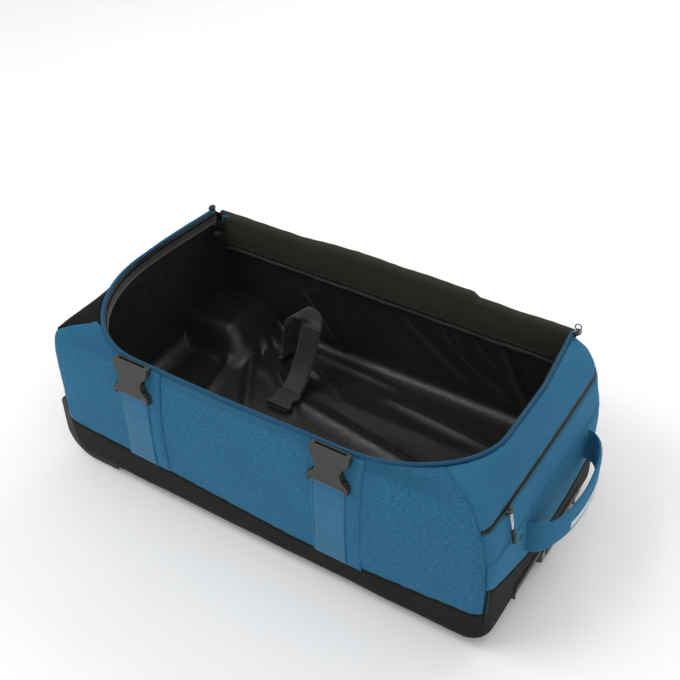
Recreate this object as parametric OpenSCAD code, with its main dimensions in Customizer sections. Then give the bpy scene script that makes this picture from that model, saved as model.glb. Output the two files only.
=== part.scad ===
// Rolling duffel bag lying on its back with its lid open.
// +X points to the handle end, -Y to the front side, +Z up; the floor is z = 0.

/* [Body] */
// Length of the fabric body
body_l = 770; // [740:5:800]
// Width of the body across the bag
body_w = 428; // [410:2:440]
// Height of the rim above the floor
rim_z = 274; // [265:1:290]
// Height of the black base band on the long sides
band_z = 79; // [74:1:90]
// Extra height of the band at the corners of the handle end
band_rise = 34; // [10:1:40]
// Thickness of the padded fabric walls
wall = 5; // [4:0.5:6]
// Height of the inside of the floor
floor_z = 41; // [40:0.5:44]

/* [Opening and lid] */
// Width of the lid's padded panel, measured through it
lid_t = 9.5; // [8:0.5:10]
// Height of the lid's hinge line
hinge_z = 263; // [260:1:266]
// Distance of the hinge line from the bag's middle
hinge_y = 222; // [221:0.5:226]
// Gap between the lid's edge and the rim
lid_gap = 4.5; // [4:0.5:8]

/* [Wheels] */
// Diameter of a wheel
wheel_d = 76; // [70:1:78]
// Width of a tyre
wheel_w = 28; // [24:1:30]
// Distance of a wheel from the bag's middle
wheel_y = 155; // [150:1:158]
// Diameter of an axle
axle_d = 8; // [6:0.5:9]

/* [Trolley] */
// Distance of a trolley tube from the bag's middle
tube_y = 95; // [85:1:98]
// Width of an outer tube
tube_w = 26; // [22:1:28]
// Height of an outer tube
tube_h = 20; // [18:1:20]
// Wall of a tube
tube_wall = 1.5; // [1:0.1:2]
// Width of the trolley grip
grip_w = 216; // [206:1:224]
// Travel of the grip's button
button_travel = 4; // [3:0.5:5]

/* [Straps and buckles] */
// Width of the compression webbing
webbing_w = 50; // [40:1:50]
// Place of the compression strap near the wheels
strap_x_left = -207; // [-230:1:-190]
// Place of the compression strap near the handle
strap_x_right = 142; // [120:1:160]
// Height of the pivot of a strap buckle
buckle_z = 222; // [215:1:225]
// Length of a strap buckle
buckle_l = 58; // [50:1:58]

/* [Grab handle] */
// Height of the padded handle's band
handle_h = 62; // [50:1:64]
// How far the handle stands out
handle_out = 44; // [38:1:50]
// Half of the distance between the handle's sewn ends
handle_half = 108; // [100:1:112]
// Thickness of the handle's band
handle_t = 7; // [5:0.5:8]

/* [Hidden] */
$fn = 48;

half_l = body_l / 2;
half_w = body_w / 2;
tray_z = 6;              // underside of the base tray
far_z = hinge_z - 7;     // top of the far wall
side = [1, -1];          // +1 is the far side, -1 the front side
lining_t = 1;
edge_r = 38;             // upright edges of the body
far_edge_r = 55;         // upright edge at the far corner of the handle end
base_r = 24;             // lower edges along the sides
handle_base_r = 22;      // lower edge of the handle end
wheel_end_r = 60;        // lower edge of the wheel end
split_x = half_l - edge_r - 2;   // front and far panels end here, just before the corner starts
eps = 0.01;

// Wheel corner
wheel_r = wheel_d / 2;
axle_x = -half_l + 29;
axle_z = wheel_r;
well_x = -half_l + 90;   // inner end of the wheel housing
well_z = 92;             // top of the wheel housing's box
well_y0 = 118;           // side of the housing nearest the middle
well_y1 = 205;           // side of the housing nearest the bag's side
guard_t = 11;            // how far the guard stands out of the end
guard_z = 117;           // top of the guard
guard_r = 52;
slot_w = wheel_w + 7;

// Trolley
tube_z = 13;             // underside of the outer tubes
bracket_x = -half_l + 60;    // the outer tubes start here, in their bracket
recess_x = half_l - 50;  // inner end of the recess for the grip
recess_half = 86;        // half of the finger recess's width
grip_x = half_l - 20;    // inner face of the grip
grip_half = grip_w / 2;
boss_half = 27;          // half of the width of the grip's middle
grip_low = 12;           // underside of the grip
grip_high = 35;          // top of the grip
boss_out = 6;            // how far the grip's middle stands out of the end wall
button_half = 15;        // half of the button's width
button_z = [18, 29];     // height range of the button
recess_skin = 3;         // wall of the moulded recess
recess_floor = tray_z + 5.2;     // underside of the moulded recess, on the base tray
recess_top = 34.3;       // inner height of the finger recess
seat_top = 36.3;         // inner height of the seat that the grip sits in
lip_z = [36, 46];        // height range of the lip over the grip
bracket_top = 36.5;      // top of the rear bracket

// Rim outline: two elliptical corners, a near edge and two slightly leaning ends
rim_left = -half_l + 6;
rim_right = half_l - 54;
rim_near = -half_w + wall + 2;
corner_l = [170, 212];
corner_r = [190, 140];
zip_tape_h = 20;         // height of the main zip's tape inside the rim

// Facing on the inside of the far wall, bound along its lower edge
facing_x0 = -half_l + 47;
facing_x1 = half_l - 64;
binding_z = 190;

// Handle end: vertical up to lean_z, then leaning in to the shoulder
lean_z = 170;
break_z = 238;
lean_x = half_l - 15;
lean_angle = atan2(half_l - lean_x, break_z - lean_z);
zip_u = 60;              // place of the pocket zip up the leaning wall
zip_y0 = -152;
zip_y1 = 192;

// Lid
fold_gap = 0.6;
male_t = 7;              // thickness of the lid's buckles
strap_t = 1.5;
lid_top = lid_t - 5;     // outer face of the lid above the hinge line when closed
lid_bottom = -5;         // lining face of the lid below the hinge line when closed
fold_z = -lid_bottom + lid_top + strap_t + male_t + 0.6;   // height of the fold line at rest
fold_y = fold_z - hinge_z + hinge_y;                       // place of the fold line when closed

// Grab handle
handle_x = half_l + 2.2;
handle_z = 109;
handle_end = 30;         // length of each sewn end along the bag's width
handle_y = 8;            // the handle sits slightly towards the far side

// Packing strap: it stands up from the far edge of the floor, folds over and falls towards the middle
packing_w = 40;
packing_foot = [-185, 151];      // where the strap is sewn to the floor
packing_turn = 75;               // plane of the standing part
arch = [[0, 1], [4, 50], [12, 95], [24, 114], [35, 118]];
packing_fold = [-123, 144];      // where the falling part starts, just clear of the standing part
fall = [[0, 115.5], [12, 98], [30, 62], [60, 25], [84, 12]];
fall_buckle = 83;                // distance of its buckle from the fold
near_strap_x = packing_fold[0] + 3;

// ---------- outlines ----------

function arc(c, r, a0, a1, n = 6) =
    [for (i = [0 : n]) let (a = a0 + (a1 - a0) * i / n) [c[0] + r[0] * cos(a), c[1] + r[1] * sin(a)]];

function corner(x, y, r, a0) = arc([x, y], [r, r], a0, a0 + 90);

// Plan of the body, drawn in by t all round; the far corner at the handle end is rounder
function plan(t) = concat(
    corner(-half_l + edge_r, -half_w + edge_r, edge_r - t, 180),
    corner(half_l - edge_r, -half_w + edge_r, edge_r - t, 270),
    corner(half_l - far_edge_r, half_w - far_edge_r, far_edge_r - t, 0),
    corner(-half_l + edge_r, half_w - edge_r, edge_r - t, 90));

// Long section (x, z): rounded wheel end, leaning shoulder at the handle end
function long_section(t) = concat(
    corner(-half_l + wheel_end_r, tray_z + wheel_end_r, wheel_end_r - t, 180),
    corner(half_l - handle_base_r, tray_z + handle_base_r, handle_base_r - t, 270),
    [[half_l - t, lean_z], [lean_x - t, break_z], [half_l - 27 - 0.9 * t, break_z + 20 - 0.5 * t],
     [half_l - 47 - 1.2 * t, rim_z - t], [-half_l + 8 + t, rim_z - t], [-half_l + t, rim_z - 24]]);

// Cross section (y, z) with rounded bottom edges
function cross_section(t) = concat(
    corner(-half_w + base_r, tray_z + base_r, base_r - t, 180),
    corner(half_w - base_r, tray_z + base_r, base_r - t, 270),
    [[half_w - t, rim_z - t], [-half_w + t, rim_z - t]]);

// Rim, drawn in by d
function rim(d) = concat(
    arc([rim_left + corner_l[0], rim_near + corner_l[1]], corner_l - [d, d], 180, 270, 12),
    arc([rim_right - corner_r[0], rim_near + corner_r[1]], corner_r - [d, d], 270, 360, 12),
    [[rim_right - d, 55], [rim_right - 16 - d, 195], [rim_right - 16 - d, 260],
     [rim_left + 8 + d, 260], [rim_left + 8 + d, 195], [rim_left + d, 60]]);

// Strip of constant thickness along a list of points (along, up)
function strip(pts, t) = concat(
    [for (p = pts) [p[0], p[1]]],
    [for (i = [len(pts) - 1 : -1 : 0]) [pts[i][0], pts[i][1] + t]]);

module extrude_y(y0, y1) translate([0, y1, 0]) rotate([90, 0, 0])
    linear_extrude(height = y1 - y0) children();
module extrude_x(x0, x1) translate([x0, 0, 0]) rotate([90, 0, 90]) linear_extrude(height = x1 - x0) children();
module extrude_z(z0, z1) translate([0, 0, z0]) linear_extrude(height = z1 - z0) children();
module box(low, high) translate(low) cube(high - low);
module rod_y(x, z, r, y0, y1) translate([x, y1, z]) rotate([90, 0, 0]) cylinder(r = r, h = y1 - y0);

// Turns the far half into either side: s = 1 far, s = -1 front
module on_side(s) {
    if (s > 0) children();
    else mirror([0, 1, 0]) children();
}

// ---------- fabric body ----------

module body_solid(t) intersection() {
    extrude_z(0, rim_z + 10) polygon(plan(t));
    extrude_y(-half_w, half_w) polygon(long_section(t));
    extrude_x(-half_l, half_l) polygon(cross_section(t));
}

module well_boxes(g) for (s = side) on_side(s)
    box([-half_l - 30, well_y0 - g, -1], [well_x + g, well_y1 + g, well_z + g]);

module grip_recess_box(g) {
    box([recess_x - g, -recess_half - g, -1], [half_l + 20, recess_half + g, 40 + g]);
    box([grip_x - 3 - g, -grip_half - 2 - g, 8 - g], [half_l + 20, grip_half + 2 + g, 40 + g]);
}

module opening() {
    extrude_z(rim_z - 14, rim_z + 20) polygon(rim(0));
    box([rim_left + 8, 150, far_z], [rim_right - 16, 260, rim_z + 20]);
}

module body_shell() difference() {
    body_solid(0);
    body_solid(wall);
    opening();
}

// Base band: level along the sides, rising towards both corners of the handle end
module band_region() {
    box([-half_l - 1, -half_w - 1, 0], [half_l + 1, half_w + 1, band_z]);
    extrude_x(split_x, half_l + 1) polygon([
        [-half_w - 1, band_z - 1], [half_w + 1, band_z - 1], [half_w + 1, band_z + band_rise],
        [70, band_z], [-70, band_z], [-half_w - 1, band_z + band_rise]]);
}

module base_tray() color("#22231f") difference() {
    intersection() {
        body_shell();
        band_region();
    }
    well_boxes(0);
    grip_recess_box(0);
}

module side_region(s) on_side(s)
    box([-half_l + edge_r, half_w - wall - 3, band_z], [split_x, half_w + 1, rim_z + 1]);

module front_panel() color("#3a708f") intersection() {
    body_shell();
    side_region(-1);
}

module far_panel() color("#3a708f") intersection() {
    body_shell();
    side_region(1);
}

module wheel_end_panel() color("#1f201c") difference() {
    intersection() {
        body_shell();
        box([-half_l - 1, -half_w - 1, band_z], [-100, half_w + 1, rim_z + 1]);
    }
    for (s = side) side_region(s);
    well_boxes(0);
}

module handle_end_region(z0, z1) difference() {
    intersection() {
        body_shell();
        box([100, -half_w - 1, z0], [half_l + 1, half_w + 1, z1]);
    }
    band_region();
    for (s = side) side_region(s);
}

module handle_end_panel() color("#356a88") handle_end_region(band_z, zip_level());
module handle_end_shoulder() color("#3a7392") handle_end_region(zip_level(), rim_z + 1);
function zip_level() = lean_z + zip_u * cos(lean_angle);

module rim_ring(out, in, z0, z1) intersection() {
    difference() {
        extrude_z(z0, z1) polygon(rim(-out));
        extrude_z(z0 - 1, z1 + 1) polygon(rim(in));
    }
    box([-half_l, -half_w, z0], [half_l, 186, z1]);
}

module rim_piping() color("#2d6182") rim_ring(5, 2, rim_z, rim_z + 6);

module body_zip_tape() color("#151613") difference() {
    rim_ring(0, 1.5, rim_z - zip_tape_h, rim_z);
    difference() {
        body_solid(0);
        body_solid(wall);
        extrude_z(rim_z - 14, rim_z + 20) polygon(rim(0));
    }
}

module lid_hinge_fabric() color("#1b1c19")
    box([rim_left + 30, half_w - wall, far_z], [rim_right - 30, half_w + 2, far_z + 1.5]);

// Inside of the body, drawn in by t from the inner face of the walls
module cavity(t) difference() {
    intersection() {
        body_solid(wall + t);
        box([-half_l, -half_w, floor_z + t], [half_l, half_w, rim_z]);
    }
    well_boxes(2.5 + t);
}

module lining() color("#1d1e1b") difference() {
    cavity(0.2);
    cavity(0.2 + lining_t);
    box([-half_l, -half_w, rim_z - zip_tape_h - 0.5], [half_l, half_w, rim_z + 1]);
    box([facing_x0 - 1, half_w - wall - 20, binding_z], [facing_x1 + 1, half_w, rim_z]);
}

module far_wall_facing() color("#262723")
    box([facing_x0, half_w - wall - 1.5, binding_z + 8], [facing_x1, half_w - wall - 0.2, far_z - 1]);

module seam_binding() color("#121310")
    box([facing_x0, half_w - wall - 2.5, binding_z + 0.5], [facing_x1, half_w - wall - 0.2, binding_z + 7.5]);

module floor_board() color("#3a3a36") difference() {
    intersection() {
        body_solid(wall + 1);
        box([-half_l, -half_w, floor_z - 4], [half_l, half_w, floor_z - 1]);
    }
    well_boxes(1);
    grip_recess_box(4);
}

// ---------- trolley ----------

module tube(x0, x1, w, h, t, z) difference() {
    box([x0, -w / 2, z], [x1, w / 2, z + h]);
    box([x0 - 1, -w / 2 + t, z + t], [x1 + 1, w / 2 - t, z + h - t]);
}

module trolley_outer_tube(s) color("#9da1a3") translate([0, s * tube_y, 0])
    tube(bracket_x, grip_x - 6, tube_w, tube_h, tube_wall, tube_z);

in_w = tube_w - 2 * tube_wall - 0.6;
in_h = tube_h - 2 * tube_wall - 0.6;
module trolley_inner_tube(s) color("#b5b9bb") translate([0, s * tube_y, 0])
    tube(-half_l + 140, grip_x, in_w, in_h, tube_wall, tube_z + tube_wall + 0.3);

// Moulded tray that the grip sits in, with a lip along its upper edge
module trolley_recess() color("#34352f") difference() {
    union() {
        box([recess_x - recess_skin, -recess_half - recess_skin, recess_floor],
            [grip_x - recess_skin, recess_half + recess_skin, recess_top + 2.5]);
        box([grip_x - recess_skin - 2.8, -grip_half - 1.8, recess_floor],
            [half_l + 1, grip_half + 1.8, seat_top + 3.5]);
        box([half_l + 0.2, -grip_half - 8, lip_z[0]], [half_l + 4, grip_half + 8, lip_z[1]]);
    }
    box([recess_x, -recess_half, tray_z + 4], [half_l + 20, recess_half, recess_top]);
    box([grip_x - 2.8, -grip_half - 0.5, tray_z + 4], [half_l + 20, grip_half + 0.5, seat_top]);
    for (s = side) box([recess_x - 10, s * tube_y - tube_w / 2 - 0.1, tube_z - 0.1],
        [grip_x + 1, s * tube_y + tube_w / 2 + 0.1, tube_z + tube_h + 0.1]);
}

module trolley_rear_bracket() color("#2b2c28") difference() {
    box([bracket_x - 8, -tube_y - tube_w / 2 - 5, tray_z + 6.4],
        [bracket_x + 14, tube_y + tube_w / 2 + 5, bracket_top]);
    for (s = side) box([bracket_x - 0.1, s * tube_y - tube_w / 2 - 0.1, tube_z - 0.1],
        [bracket_x + 15, s * tube_y + tube_w / 2 + 0.1, tube_z + tube_h + 0.1]);
    box([bracket_x - 4, -tube_y + tube_w / 2 + 5, tray_z + 9], [bracket_x + 20, tube_y - tube_w / 2 - 5, 40]);
}

module trolley_grip() color("#1c1d1b") difference() {
    union() {
        box([grip_x, -grip_half, grip_low], [half_l - 2, grip_half, grip_high]);
        extrude_z(grip_low, grip_high) polygon([[half_l - 2.5, -boss_half - 3], [half_l + boss_out, -boss_half],
            [half_l + boss_out, boss_half], [half_l - 2.5, boss_half + 3]]);
    }
    box([half_l + 0.3 - button_travel - 4.3, -button_half - 0.3, button_z[0] - 0.3],
        [half_l + boss_out + 1, button_half + 0.3, button_z[1] + 0.3]);
}

module grip_button() color("#3c3d3a") union() {
    box([half_l - 3.7, -button_half, button_z[0]], [half_l + boss_out, button_half, button_z[1]]);
    extrude_z(button_z[0], button_z[1]) polygon([[half_l + boss_out, -button_half], [half_l + boss_out + 2, -12],
        [half_l + boss_out + 2, 12], [half_l + boss_out, button_half]]);
}

// ---------- wheels ----------

// Guard and box of a wheel corner, drawn on the far side
module wheel_housing(s) color("#2a2b28") on_side(s) difference() {
    extrude_y(well_y0 + 0.2, well_y1 - 0.2) polygon(concat(
        arc([-half_l - guard_t + guard_r, 2 + guard_r], [guard_r, guard_r], 180, 270, 10),
        [[well_x - 0.2, 2], [well_x - 0.2, well_z - 0.2], [-half_l - 0.2, well_z - 0.2],
         [-half_l - 0.2, guard_z], [-half_l - guard_t + 3, guard_z], [-half_l - guard_t, guard_z - 6]]));
    extrude_y(wheel_y - slot_w / 2, wheel_y + slot_w / 2) polygon([
        [-half_l - 30, -1], [axle_x + wheel_r + 4, -1], [axle_x + wheel_r + 4, 66],
        [axle_x + wheel_r - 10, axle_z + wheel_r + 4], [-half_l - 30, axle_z + wheel_r + 4]]);
    box([-half_l + 10, wheel_y + slot_w / 2 + 6, 40], [well_x - 4, well_y1 - 4, well_z + 1]);
    box([-half_l + 10, well_y0 + 4, 40], [well_x - 4, wheel_y - slot_w / 2 - 5, well_z + 1]);
    rod_y(axle_x, axle_z, axle_d / 2, wheel_y - slot_w / 2 - 4, wheel_y + slot_w / 2 + 5);
    for (x = screw_x) translate([x, well_y1 - 14, 0]) screw_hole();
}

screw_x = [-half_l + 40, -half_l + 76];
screw_d = 4;
screw_head_d = 8.6;
module screw_hole() {
    translate([0, 0, 1]) cylinder(d = screw_head_d + 0.4, h = 4);
    translate([0, 0, 4]) cylinder(d = screw_d, h = 26);
}

module housing_screws() color("#55574f") for (s = side) on_side(s)
    for (x = screw_x) translate([x, well_y1 - 14, 0]) difference() {
        union() {
            translate([0, 0, 2.4]) cylinder(d = screw_head_d, h = 2.6);
            translate([0, 0, 4]) cylinder(d = screw_d, h = 22);
        }
        translate([0, 0, 2]) cube([4, 1, 2.4], center = true);
    }

module wheel_axle(s) color("#a9adb0") on_side(s)
    rod_y(axle_x, axle_z, axle_d / 2, wheel_y - slot_w / 2 - 4, wheel_y + slot_w / 2 + 5);

module at_wheel(s) translate([axle_x, s * wheel_y, axle_z]) rotate([90, 0, 0]) children();

hub_r = wheel_r - 12;
bearing_r = 11;
bearing_w = 7;
module tyre(s) color("#191a19") at_wheel(s) rotate_extrude() polygon([
    [hub_r, -wheel_w / 2 + 2], [hub_r + 3, -wheel_w / 2], [wheel_r - 4, -wheel_w / 2],
    [wheel_r - 1, -wheel_w / 2 + 2], [wheel_r, -wheel_w / 2 + 5], [wheel_r, wheel_w / 2 - 5],
    [wheel_r - 1, wheel_w / 2 - 2], [wheel_r - 4, wheel_w / 2], [hub_r + 3, wheel_w / 2],
    [hub_r, wheel_w / 2 - 2]]);

module wheel_hub(s) color("#3f4142") at_wheel(s) difference() {
    cylinder(r = hub_r, h = wheel_w - 4, center = true);
    cylinder(r = bearing_r - 3, h = wheel_w, center = true);
    for (m = [0, 1]) mirror([0, 0, m]) {
        translate([0, 0, wheel_w / 2 - 2 - bearing_w]) cylinder(r = bearing_r, h = bearing_w + 1);
        for (a = [0 : 72 : 288]) rotate([0, 0, a]) translate([(hub_r + bearing_r) / 2, 0, wheel_w / 2 - 8])
            cylinder(r = 4.5, h = 10);
    }
}

module wheel_bearings(s) color("#c2c5c7") at_wheel(s) for (m = [0, 1]) mirror([0, 0, m])
    translate([0, 0, wheel_w / 2 - 2 - bearing_w]) difference() {
        cylinder(r = bearing_r, h = bearing_w);
        translate([0, 0, -1]) cylinder(r = axle_d / 2 + 0.04, h = bearing_w + 2);
    }

// ---------- base ----------

module skid_rails() color("#2a2b28") for (y = [-wheel_y, 0, wheel_y])
    extrude_y(y - 7, y + 7) polygon([[well_x + 14, tray_z], [well_x + 24, 0], [recess_x - 22, 0],
        [recess_x - 12, tray_z]]);

module corner_feet() color("#2a2b28") for (s = side) on_side(s) extrude_y(112, 188) polygon([
    [half_l - 62, tray_z], [half_l - 56, 0], [half_l - 26, 0], [half_l - 23, tray_z]]);

// ---------- straps ----------

module strap_facing(x) color("#326683")
    box([x - 36, -half_w - 1, band_z], [x + 36, -half_w, rim_z - 3]);

module strap_webbing(x) color("#3d7797")
    box([x - webbing_w / 2, -half_w - 1 - 2 * strap_t, band_z + 1],
        [x + webbing_w / 2, -half_w - 1, buckle_z - 4]);

// Socket half of a side-release buckle, standing up from its webbing
module buckle_female(x) color("#3b3c38") translate([x, -half_w - 2.5, buckle_z]) difference() {
    extrude_y(-12, 0) polygon(concat(
        [[-30, -4], [30, -4], [31, 2]],
        arc([33, 17], [7, 11], 250, 110, 5),
        [[30, 34], [29, buckle_l - 3], [27, buckle_l], [-27, buckle_l], [-29, buckle_l - 3], [-30, 34]],
        arc([-33, 17], [7, 11], 70, -70, 5),
        [[-31, 2]]));
    box([-22, -9.5, 12], [22, -2.5, buckle_l + 1]);
    box([-26, -13, 3], [26, -4.5, 7.5]);
}

// Prong half of a side-release buckle, flat, pointing along -y from the origin
module buckle_male(w, t, l) difference() {
    union() {
        box([-w / 2, -16, 0], [w / 2, 0, t]);
        box([-w / 2 + 3, -l, 1], [-w / 2 + 9, -15, t - 1]);
        box([w / 2 - 9, -l, 1], [w / 2 - 3, -15, t - 1]);
        box([-3, -l + 6, 1.5], [3, -15, t - 1.5]);
    }
    box([-w / 2 + 5, -7, -1], [w / 2 - 5, -3, t + 1]);
}

// ---------- handle end fittings ----------

// Whole bow of the handle: a flattened half ellipse standing on the end wall
module handle_bow() translate([handle_x, handle_y, handle_z]) linear_extrude(height = handle_h) difference() {
    polygon(bow(0));
    polygon(bow(handle_t));
}

function bow(t) = [for (i = [0 : 16]) let (a = -90 + 180 * i / 16)
    [(handle_out - t) * pow(max(cos(a), 0), 0.7) - (t > 0 ? eps : 0), (handle_half - t) * sin(a)]];

module handle_middle(half) box([half_l, handle_y - half, 0], [half_l + 80, handle_y + half, 300]);

// Middle of the handle, which is pressed flat towards the bag
module grab_handle() color("#3c7594") intersection() {
    handle_bow();
    handle_middle(handle_half - handle_end);
}

// Sewn ends of the handle, each on its patch
module grab_handle_ends() color("#32657f") {
    difference() {
        handle_bow();
        handle_middle(handle_half - handle_end + 0.4);
    }
    for (s = side) let (y = handle_y + s * (handle_half - 12))
        box([half_l, y - 14, handle_z], [handle_x, y + 14, handle_z + handle_h]);
}

module eyelet() color("#141513") translate([half_l, -118, 152]) rotate([0, 90, 0]) difference() {
    cylinder(d = 15, h = 2);
    translate([0, 0, -1]) cylinder(d = 7, h = 4);
}

// Frame whose z axis runs up the leaning part of the handle end, x pointing out
module on_lean() translate([half_l, 0, lean_z]) rotate([0, -lean_angle, 0]) children();

module pocket_zip() color("#141513") on_lean() {
    box([0, zip_y0, zip_u - 7], [1.2, zip_y1, zip_u + 7]);
    box([1.2, zip_y0, zip_u - 2], [2.2, zip_y1, zip_u + 2]);
}

module pocket_slider() color("#1a1b19") on_lean() union() {
    box([2.6, -154, zip_u - 5], [5.2, -142, zip_u + 5]);
    box([5.2, -150, zip_u - 3], [7.2, -146, zip_u + 3]);
}

module pocket_pull() color("#2a2c2a") on_lean() union() {
    translate([4.6, -148, zip_u - 34]) cylinder(d = 2, h = 27);
    translate([4.6, -148, zip_u - 58]) cylinder(d = 5.5, h = 24);
}

// Sliders of the main zip at the ends of the rim
module main_slider(x, y) color("#1a1b19") union() {
    box([x - 5, y - 7, rim_z], [x + 5, y + 7, rim_z + 3]);
    box([x - 1.5, y - 4, rim_z + 3], [x + 1.5, y + 4, rim_z + 4.5]);
}

slider_left = [rim_left + 6, 194];
slider_right = [rim_right - 8, 194];

module main_pull_tab() color("#2d6182")
    box([rim_left + 9.8, slider_left[1] - 8, rim_z - 30], [rim_left + 11.8, slider_left[1] + 1, rim_z - 1.5]);

module main_pull_ring() color("#2a2b29") translate([slider_right[0], slider_right[1], rim_z + 12])
    rotate([90, 0, 0]) rotate_extrude() translate([5, 0]) circle(r = 1, $fn = 16);

// ---------- packing straps ----------

// Draws a side view (along, up) as a band across the given place on the compartment's floor
module across(place, turn, w) translate([place[0], place[1], floor_z + 1.6]) rotate([90, 0, turn - 90])
    translate([0, 0, -w / 2]) linear_extrude(height = w) children();

module packing_strap_far() color("#20211e")
    across(packing_foot, packing_turn, packing_w) polygon(strip(arch, strap_t));

module packing_strap_end() color("#20211e") {
    across(packing_fold, 0, packing_w) polygon(strip(fall, strap_t));
    difference() {
        across(packing_fold, 0, packing_w + 8) translate([fall_buckle, 0])
            polygon([[0, 2], [41, 2], [41, 12], [0, 14]]);
        across(packing_fold, 0, packing_w - 4) translate([fall_buckle, 0])
            polygon([[11, 4.5], [42, 4.5], [42, 9.5], [11, 9.5]]);
    }
}

module packing_strap_near() color("#20211e")
    box([near_strap_x - packing_w / 2, -half_w + wall + 2, floor_z + 1.6],
        [near_strap_x + packing_w / 2, -140, floor_z + 3.1]);

module packing_buckle_male() color("#20211e")
    translate([near_strap_x, -140, floor_z + 1.6]) mirror([0, 1, 0]) buckle_male(44, 6, 44);

// ---------- lid, drawn closed and turned open about its hinge and its fold ----------

module open_upper() translate([0, hinge_y, hinge_z]) rotate([90, 0, 0])
    translate([0, -hinge_y, -hinge_z]) children();
module open_lower() open_upper() translate([0, fold_y, hinge_z + lid_bottom - 0.3]) rotate([90, 0, 0])
    translate([0, -fold_y, -hinge_z - lid_bottom + 0.3]) children();

module lid_slab(z0, z1, y0, y1) intersection() {
    extrude_z(hinge_z + z0, hinge_z + z1) polygon(rim(lid_gap));
    box([-half_l, y0, 0], [half_l, y1, rim_z]);
}

module lid_panel_upper() color("#3a708f") open_upper()
    lid_slab(lid_bottom + lining_t, lid_top, fold_y + fold_gap / 2, hinge_y - 8);
module lid_lining_upper() color("#20211e") open_upper()
    lid_slab(lid_bottom, lid_bottom + lining_t, fold_y + fold_gap / 2, hinge_y - 8);
module lid_panel_lower() color("#3a708f") open_lower()
    lid_slab(lid_bottom + lining_t, lid_top, -half_w, fold_y - fold_gap / 2);
module lid_lining_lower() color("#20211e") open_lower()
    lid_slab(lid_bottom, lid_bottom + lining_t, -half_w, fold_y - fold_gap / 2);

lid_strap_y = -150;
module lid_straps() color("#3d7797") open_lower() for (x = [strap_x_left, strap_x_right])
    box([x - webbing_w / 2, lid_strap_y, hinge_z + lid_top],
        [x + webbing_w / 2, fold_y - 20, hinge_z + lid_top + strap_t]);
module lid_buckles_male() color("#3b3c38") open_lower() for (x = [strap_x_left, strap_x_right])
    translate([x, lid_strap_y + 14, hinge_z + lid_top + strap_t]) buckle_male(54, male_t, 52);

base_tray();
front_panel();
far_panel();
wheel_end_panel();
handle_end_panel();
handle_end_shoulder();
rim_piping();
body_zip_tape();
lid_hinge_fabric();
lining();
far_wall_facing();
seam_binding();
floor_board();
trolley_outer_tube(-1);  // trolley_outer_tube_left
trolley_outer_tube(1);  // trolley_outer_tube_right
trolley_recess();
trolley_rear_bracket();
wheel_housing(-1);  // wheel_housing_left
wheel_housing(1);  // wheel_housing_right
wheel_axle(-1);  // wheel_axle_left
wheel_axle(1);  // wheel_axle_right
housing_screws();
skid_rails();
corner_feet();
strap_facing(strap_x_left);  // strap_facing_left
strap_facing(strap_x_right);  // strap_facing_right
strap_webbing(strap_x_left);  // strap_webbing_left
strap_webbing(strap_x_right);  // strap_webbing_right
grab_handle_ends();
eyelet();
pocket_zip();
main_slider(slider_left[0], slider_left[1]);  // main_slider_left
main_slider(slider_right[0], slider_right[1]);  // main_slider_right
packing_strap_far();
packing_strap_near();
packing_buckle_male();
lid_panel_upper();
lid_lining_upper();
lid_panel_lower();
lid_lining_lower();
lid_straps();
lid_buckles_male();
trolley_inner_tube(-1);  // trolley_inner_tube_left
trolley_inner_tube(1);  // trolley_inner_tube_right
trolley_grip();
grip_button();
tyre(-1);  // tyre_left
wheel_hub(-1);  // wheel_hub_left
wheel_bearings(-1);  // wheel_bearings_left
tyre(1);  // tyre_right
wheel_hub(1);  // wheel_hub_right
wheel_bearings(1);  // wheel_bearings_right
grab_handle();
buckle_female(strap_x_left);  // buckle_female_left
buckle_female(strap_x_right);  // buckle_female_right
pocket_slider();
pocket_pull();
main_pull_tab();
main_pull_ring();
packing_strap_end();
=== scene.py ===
"""Looks of the rolling duffel bag: cloth, webbing, piping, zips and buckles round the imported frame."""
import math

import bmesh
import bpy
import numpy as np
from mathutils import Matrix, Vector, noise


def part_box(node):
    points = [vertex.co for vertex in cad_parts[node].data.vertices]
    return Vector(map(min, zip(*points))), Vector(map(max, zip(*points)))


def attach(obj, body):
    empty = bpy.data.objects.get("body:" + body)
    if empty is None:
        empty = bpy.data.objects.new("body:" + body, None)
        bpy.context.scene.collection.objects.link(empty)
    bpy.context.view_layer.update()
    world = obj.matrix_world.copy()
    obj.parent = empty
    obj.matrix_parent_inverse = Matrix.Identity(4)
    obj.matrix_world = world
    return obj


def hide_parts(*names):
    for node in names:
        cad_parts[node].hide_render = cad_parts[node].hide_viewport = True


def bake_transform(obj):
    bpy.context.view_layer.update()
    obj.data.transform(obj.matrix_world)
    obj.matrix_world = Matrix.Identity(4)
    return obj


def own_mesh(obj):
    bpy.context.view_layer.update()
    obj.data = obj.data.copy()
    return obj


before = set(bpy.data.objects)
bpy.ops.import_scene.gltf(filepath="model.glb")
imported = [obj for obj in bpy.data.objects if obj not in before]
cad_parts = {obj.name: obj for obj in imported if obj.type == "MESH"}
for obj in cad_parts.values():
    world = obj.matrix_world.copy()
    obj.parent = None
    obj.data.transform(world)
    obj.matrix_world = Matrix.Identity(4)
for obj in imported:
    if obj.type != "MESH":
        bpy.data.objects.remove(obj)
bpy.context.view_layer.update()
MM = 0.001

# ---------------------------------------------------------------- sizes, from the frame

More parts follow.
